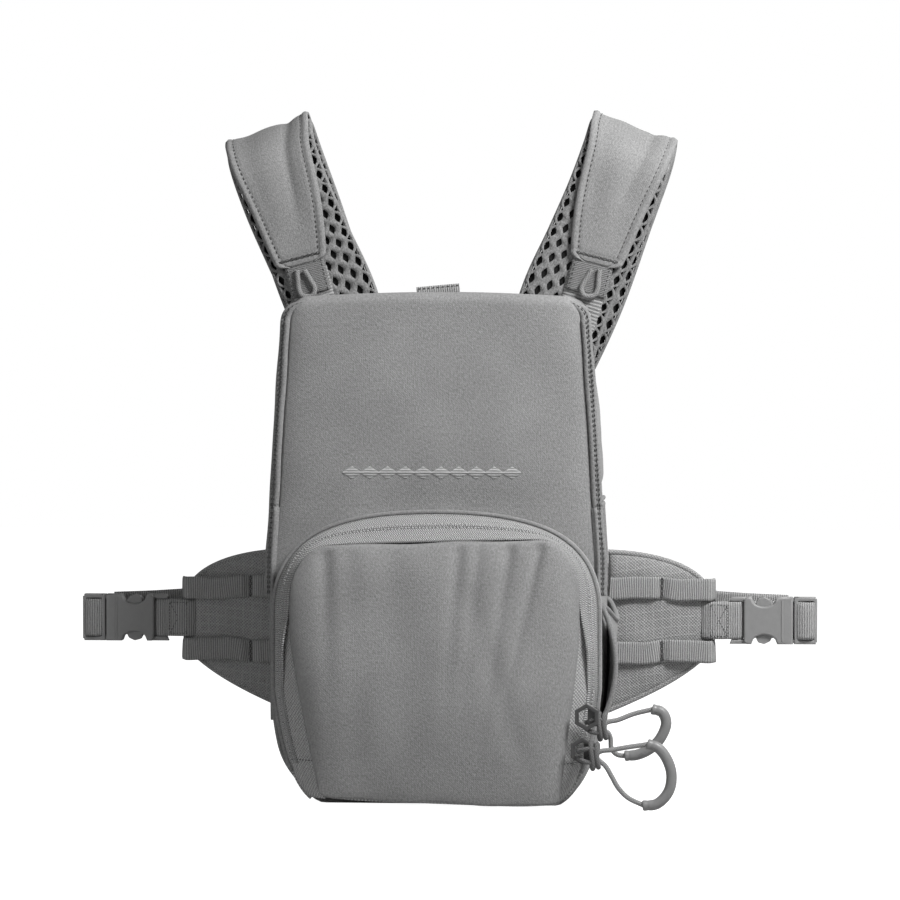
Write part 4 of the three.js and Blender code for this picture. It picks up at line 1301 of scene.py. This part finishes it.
def strap_cover(side_name, sign, lean):
    """The smooth sleeve over the top of a strap: hemmed edges, soft folds and a narrow lower end."""
    path = smooth_path(mirrored(COVER_PATH, sign), 150)
    _, side, normal = path_frames(path, lean)
    outward = normal * sign
    run = np.linspace(0, 1, len(path))
    from_end = run * distance_along(path)[-1]
    half = (STRAP_WIDTH / 2 - 0.2) * (0.56 + 0.44 * np.clip(from_end / 72, 0, 1) ** 0.7)
    t = np.linspace(-1, 1, 61)
    round_end = 1 - 0.30 * (1 - np.sqrt(np.clip(1 - (1 - np.clip(from_end / 3.0, 0, 1)) ** 2, 0, 1)))
    grid = path[None] + side[None] * (t[:, None] * (half * round_end)[None])[..., None]
    from_edge = (1 - np.abs(t))[:, None] * half[None]
    hem = 0.25 * np.exp(-((from_edge - 2.0) / 1.6) ** 2) - 0.4 * np.exp(-((from_edge - 4.2) / 0.8) ** 2)
    end_hem = 0.35 * np.exp(-((from_end - 2.2) / 1.6) ** 2) - 0.4 * np.exp(-((from_end - 4.4) / 0.8) ** 2)
    crest = np.exp(-((path[:, 1] - 10) / 14) ** 2)[None]
    dip = -0.7 * crest * (1 - (t[:, None]) ** 2) + 0.9 * crest * np.abs(t[:, None]) ** 4
    folds = 0.45 * np.sin(t[:, None] * 6 + from_end[None] * 0.03 + sign) * smoothstep(from_end, 8, 40)[None]
    valley = t[:, None] - 0.25 * sign - 0.35 * sign * (from_end[None] / 70 - 0.5)
    folds = folds - 1.0 * np.exp(-(valley / 0.13) ** 2) * smoothstep(from_end, 14, 52)[None]
    folds = folds * (1 - t[:, None] ** 4)
    tuck = -0.9 * smoothstep(1.6 - from_edge, 0, 1.6)
    lift = 1.2 + hem + end_hem[None] + dip + folds + tuck
    grid = grid + outward[None] * lift[..., None]
    piece = cloth(f"strap_cover_skin_{side_name}", grid, 1.0, "shell", flip=sign < 0)
    place(piece, "pack", [f"strap_cover_{side_name}"])
    for tag, column in (("a", 1), ("b", -1)):
        offset = (1 - 4.3 / half) * column
        line = path + side * (offset * half)[:, None] + outward * 1.15
        keep = from_end > 4.5
        stitches(f"strap_cover_row_{tag}_{side_name}", line[keep], outward[keep], "pack", 1.7, 0.9, 0.42)
    near = int(np.argmin(np.abs(from_end - 3.8)))
    foot = path[near] + outward[near] * 1.5
    reach = side[near] * half[near] * 0.78
    bar_tack(f"strap_cover_foot_{side_name}", foot + reach, foot - reach, "pack", outward[near])


def strap_fittings(side_name, sign):
    """Ribbed webbing that joins the strap to the pack, the square patch and its small cord loop."""
    tilt = STRAP_LEAN * 0.6
    across = np.array([math.cos(tilt) * sign, 0, -math.sin(tilt)])
    webbing_path = mirrored([(58, -4.9, 214), (62, -4.9, 232), (68, -4.9, 250), (73, -4.9, 268)], sign)
    band_between(f"strap_webbing_{side_name}_woven", webbing_path, 21, 1.3, "diagonal", "pack",
                 [f"strap_webbing_{side_name}"], across=across)
    patch_path = mirrored([(70.6, -6.2, 256), (72.6, -6.3, 264), (74.6, -6.1, 272.5)], sign)
    band_between(f"strap_patch_{side_name}_woven", patch_path, 21, 1.3, "patch", "pack",
                 [f"strap_patch_{side_name}"], across=across, count=20)
    frame_line = smooth_path(patch_path, 20)
    for edge in (-1, 1):
        stitches(f"strap_patch_row{edge + 1}_{side_name}", frame_line + across * edge * 9 + [0, -0.7, 0],
                 (0, -1, 0), "pack", 1.4, 0.8, 0.4)
    loop = [(73.9, 268), (71.2, 263.6), (68.6, 258.4), (69.6, 255.2), (72.4, 254.4), (75.4, 255.2),
            (76.8, 258.4), (77.4, 263.6), (77.8, 268)]
    loop_path = smooth_path(mirrored([(x, -8.05, z) for x, z in loop], sign), 60)
    tube(f"accessory_loop_{side_name}_braid", loop_path, (0, 1, 0), 1.3, "cord", "pack",
         [f"accessory_loop_{side_name}"], sides=12)


# ---- back of the pack ----
def rounded_pad(name, half, z0, z1, corner, y, puff, material, replaces, flip):
    """A soft rectangular pad with round corners, facing the wearer or the front."""
    count = 60
    s = np.linspace(-1, 1, count)
    tall = z1 - z0
    grid = np.zeros((count, count, 3))
    for i, a in enumerate(s):
        for j, b in enumerate(s):
            past_corner = max(0, (abs(b) * tall / 2 - tall / 2 + corner) / corner)
            limit_x = half - corner * (1 - math.sqrt(max(0, 1 - past_corner ** 2)))
            edge = (1 - abs(a) ** 9) * (1 - abs(b) ** 9)
            grid[i, j] = (a * limit_x, y + puff * edge ** 0.5, (z0 + z1) / 2 + b * tall / 2)
    return place(cloth(name, grid, 1.2, material, flip=flip), "pack", replaces)


def pack_back():
    z = np.linspace(5, PACK_TOP - 2, 70)
    u = np.linspace(-1, 1, 40)
    half = pack_half_width(z) - 4.6
    half = np.minimum(half, 60 + np.sqrt(np.maximum(0, (PACK_TOP - 2.2 - z))) * 4.2)
    x = u[:, None] * half
    grid = sheet(x, BACK - 0.2 + 0.5 * ripple(x, z, 1.1), z)
    panel = cloth("back_panel_cloth", grid, 4.8, "oxford", flip=True)
    place(panel, "pack", ["back_panel"])

    pad = "chest_pad"
    a, b = low(pad), high(pad)
    core = rounded_pad("chest_pad_foam", b.x - 2, a.z + 2, b.z - 2, 17, -3.2, 1.8, "foam", [pad], True)

    def face(t, s):
        edge = 1 - np.clip(np.maximum(np.abs(t) / (b.x - 4), np.abs(s - 87) / 87), 0, 1) ** 8
        return np.stack([t, -1.4 + 0.9 * edge, a.z + 2.5 + s], -1)
    lattice("chest_pad_mesh", b.x - 3.4, b.z - a.z - 5, face, 0.9)
    pad_rim("chest_pad_binding", b.x - 2.2, a.z + 2.2, b.z - 2.2, 16, -2.6, 2.2)

    yoke = "back_yoke"
    a, b = low(yoke), high(yoke)
    core = rounded_pad("back_yoke_foam", b.x - 2, a.z + 2, b.z - 2, 13, (a.y + b.y) / 2, 1.2, "foam",
                       [yoke], True)

    def yoke_face(t, s):
        return np.stack([t, np.full_like(t, b.y - 0.6), a.z + 2.5 + s], -1)
    lattice("back_yoke_mesh", b.x - 2.4, b.z - a.z - 5, yoke_face, 0.9)
    rounded_pad("back_yoke_lining", b.x - 2, a.z + 2, b.z - 2, 13, a.y + 1.2, -0.8, "lining", [], False)
    pad_rim("back_yoke_binding", b.x - 2.2, a.z + 2.2, b.z - 2.2, 12, (a.y + b.y) / 2, 2.6)


def pad_rim(name, half, z0, z1, corner, y, radius):
    """The bound edge round a pad."""
    points = []
    for cx, cz, start in ((half - corner, z1 - corner, 0), (corner - half, z1 - corner, 90),
                          (corner - half, z0 + corner, 180), (half - corner, z0 + corner, 270)):
        for k in range(9):
            angle = math.radians(start + k * 90 / 8)
            points.append((cx + corner * math.cos(angle), y, cz + corner * math.sin(angle)))
    line = resample(np.array(points + points[:1]), 200)[:-1]
    tube(name, line, (0, 1, 0), radius, "binding", "pack", squash=0.9, closed=True)


# ---- stretch pockets on the pack's sides ----
LOOSE_EDGE = {"right": 0.95, "left": 0.0}
POCKET_SWELL = {"right": 7.6, "left": 4.4}


def side_pockets():
    for side_name, sign in SIDES:
        node = f"side_pocket_{side_name}"
        a, b = low(node), high(node)
        y = np.linspace(a.y - 1, b.y + 1, 40)
        v = np.linspace(0, 1, 44)
        q = np.linspace(0, 1, 40)
        rim = b.z - 1 - 9 * np.sin(math.pi * q) ** 0.8
        z = a.z + 1 + (rim - a.z - 1)[:, None] * v[None]
        sewn = np.sqrt(np.clip(np.sin(math.pi * np.clip(q, 0.001, 0.999)), 0, 1))[:, None]
        loose = LOOSE_EDGE[side_name] * (1 - smoothstep(q, 0, 0.5))[:, None]
        loose = loose * np.sin(math.pi * v)[None] ** 0.8
        up = np.sqrt(np.clip(v, 0, 1))[None] * (1 - 0.1 * v[None] ** 3)
        swell = POCKET_SWELL[side_name] * np.maximum(sewn * up, loose)
        grid = sheet(sign * (PACK_HALF + 0.9 + swell), y[:, None], z)
        place(cloth(f"{node}_cloth", grid, 0.9, "shell", flip=sign < 0), "pack", [node])
        path = np.concatenate([grid[0, :-1], grid[:, -1]]) + [-0.3 * sign, 0, 0]
        tube(f"{node}_binding", path, (sign, 0, 0), 1.3, "binding", "pack")


# ---- inside ----
def inside():
    lining = node_copy("compartment_lining", "compartment_lining_cloth", "lining")
    with edited(lining.data) as shape:
        bmesh.ops.remove_doubles(shape, verts=shape.verts, dist=0.01 * MM)
    place(lining, "pack", ["compartment_lining"])

    def depth_at(z):
        return -80 + (z - 149) * 62 / 87
    z = np.linspace(149, 235, 40)
    for side_name, sign in SIDES:
        path = np.stack([sign * (pack_half_width(z) - 5.2), depth_at(z), z], -1)
        tube(f"lining_rim_{side_name}", path, (sign, 0, 0), 1.3, "binding", "pack",
             sides=8)
    line = resample(np.array([(-74, -82.6, 149.4), (74, -82.6, 149.4)]), 30)
    tube("lining_rim_front", line, (0, 1, 0), 1.2, "binding", "pack", sides=8)
    moulded_copy("base_pad", "pack", "lining", 1.5)
    for node, body in (("body_magnet_strip", "pack"), ("lid_magnet_strip", "lid")):
        moulded_copy(node, body, "lining", 0.8)


# ---- zipper pulls ----
def hexagon(x0, x1, z_mid, half):
    """Outline of an elongated hexagon that stands on its points."""
    middle = (x0 + x1) / 2
    return np.array([(middle, z_mid + half), (x1, z_mid + half * 0.5), (x1, z_mid - half * 0.5),
                     (middle, z_mid - half), (x0, z_mid - half * 0.5), (x0, z_mid + half * 0.5)])


def pull_ring(name, node, body):
    """A flat hexagonal ring that the cord loops through."""
    a, b = low(node), high(node)
    z = (a.z + b.z) / 2
    outer = hexagon(a.x - 0.3, b.x + 1.0, z, (b.z - a.z) / 2 + 0.3)
    inner = hexagon(a.x + 1.7, b.x - 1.0, z, (b.z - a.z) / 2 - 2.0)
    points = [(x, y, zz) for y in (a.y - 0.2, b.y) for line in (outer, inner) for x, zz in line]
    faces = []
    for k in range(6):
        m = (k + 1) % 6
        faces += [(k, m, 6 + m, 6 + k), (12 + k, 18 + k, 18 + m, 12 + m), (k, 12 + k, 12 + m, m),
                  (6 + k, 6 + m, 18 + m, 18 + k)]
    ring = new_object(name, points, faces, "tab")
    with edited(ring.data) as shape:
        rims = [e for e in shape.edges if e.calc_face_angle(0) > math.radians(60)]
        bmesh.ops.bevel(shape, geom=rims, offset=0.4 * MM, segments=2, profile=0.5, affect="EDGES")
    ring.data.shade_flat()
    return place(ring, body, [node])


def pulls():
    for name in ("upper", "lower"):
        slider, tab = f"slider_{name}", f"pull_tab_{name}"
        moulded_copy(slider, slider, "metal", 0.5)
        pull_ring(f"{tab}_ring", tab, tab)


CORDS = {
    "upper": [(108.8, 52.6, -111), (99, 50.2, -111), (91, 47.2, -112), (86.4, 46.3, -113), (84, 44.6, -114),
              (84.4, 42.2, -113), (86.4, 41, -112), (87.6, 38, -111), (88, 33.4, -111), (90.5, 30.4, -111),
              (96.0, 29.5, -111)],
    "lower": [(107.0, 36.4, -119.6), (97, 34.9, -119.6), (88.5, 33.4, -119.6), (83, 32.6, -119.6),
              (80.6, 30.6, -119.6), (82.2, 28.4, -119.6), (85.4, 25.6, -119.6), (88.4, 20.6, -119.6),
              (91.8, 14.8, -119.6), (96.4, 10.2, -119.6), (104.6, 6.3, -119.6)],
}
GRIPS = {
    "upper": [(107.6, 52.6), (112.6, 51), (114.6, 46), (112.4, 39.4), (107.6, 33.8), (101, 30.4),
              (94.4, 29.6)],
    "lower": [(105.5, 36.5), (110.8, 34.6), (115.2, 29), (117.4, 21.4), (116, 13.4), (110.4, 7.4),
              (103.4, 6.4)],
}
CORD_DIAMETER = 2.4
GRIP_DIAMETER = 5.2


def pull_cords():
    for name, route in CORDS.items():
        body = f"pull_{name}"
        line = smooth_path([(x, y, z) for x, z, y in route], 70)
        cord = tube(f"pull_cord_{name}_braid", line, (0, 1, 0), CORD_DIAMETER / 2, "cord", body,
                    [f"pull_cord_{name}"], sides=14)
        y = route[0][2]
        extras = [grip(name, y, body)] + knot(name, body)
        route_m = to_frame(line)


def grip(name, y, body):
    """The rubber C-shaped grip, with a step at each open end where the cord goes in."""
    line = smooth_path([(x, y, z) for x, z in GRIPS[name]], 80)
    run = np.linspace(0, 1, 80)
    size = 1 - 0.07 * np.exp(-((run - 0.06) / 0.015) ** 2) - 0.07 * np.exp(-((run - 0.94) / 0.015) ** 2)
    size = size * (1 - 0.16 * (1 - smoothstep(np.minimum(run, 1 - run), 0, 0.012)))
    section = round_section(GRIP_DIAMETER / 2, 20)
    rubber = swept(f"pull_grip_{name}_rubber", line, (0, 1, 0), section, "grip", size)
    return place(rubber, body, [f"pull_grip_{name}"])


def knot(name, body):
    """Lark's-head knot: strands through the tab's ring and two tight wraps beside it."""
    x, y, z = (CORDS[name][4][0], CORDS[name][4][2], (CORDS[name][3][1] + CORDS[name][5][1]) / 2)
    # the wraps and strands are drawn in the darker copy of the cord: painted shade
    pieces = []
    for k, dx in enumerate((-1.6, 0.9)):
        angle = np.linspace(0, 2 * math.pi, 40, endpoint=False)
        tall = 6.3 - 0.7 * k
        path = np.stack([x + dx + 0.36 * np.sin(angle * 2 + k) - 0.045 * tall * np.cos(angle),
                         y - 0.3 + 2.2 * np.sin(angle), z + tall * np.cos(angle)], -1)
        pieces.append(tube(f"pull_knot_{name}_{k}", path, (1, 0, 0), 1.25, "knot", body,
                           closed=True))
    for k, dz in enumerate((2.6, -2.2)):
        path = smooth_path([(x + 1.4, y - 1.6, z + dz), (x - 2.6, y - 2.2, z + dz * 1.4),
                            (x - 6.0, y - 1.6, z + dz * 1.1), (x - 8.4, y + 1.6, z + dz * 0.6)], 30)
        pieces.append(tube(f"pull_strand_{name}_{k}", path, (0, 1, 0), 1.1, "knot", body))
    return pieces


def main():
    studio()
    main_shell()
    lid_skin()
    lid_sides()
    lid_tab()
    lid_motif()
    front_pocket()
    front_panel()
    pocket_gussets()
    side_pockets()
    wings()
    buckles()
    shoulder_straps()
    pack_back()
    inside()
    pulls()
    pull_cords()


main()

bpy.context.view_layer.update()
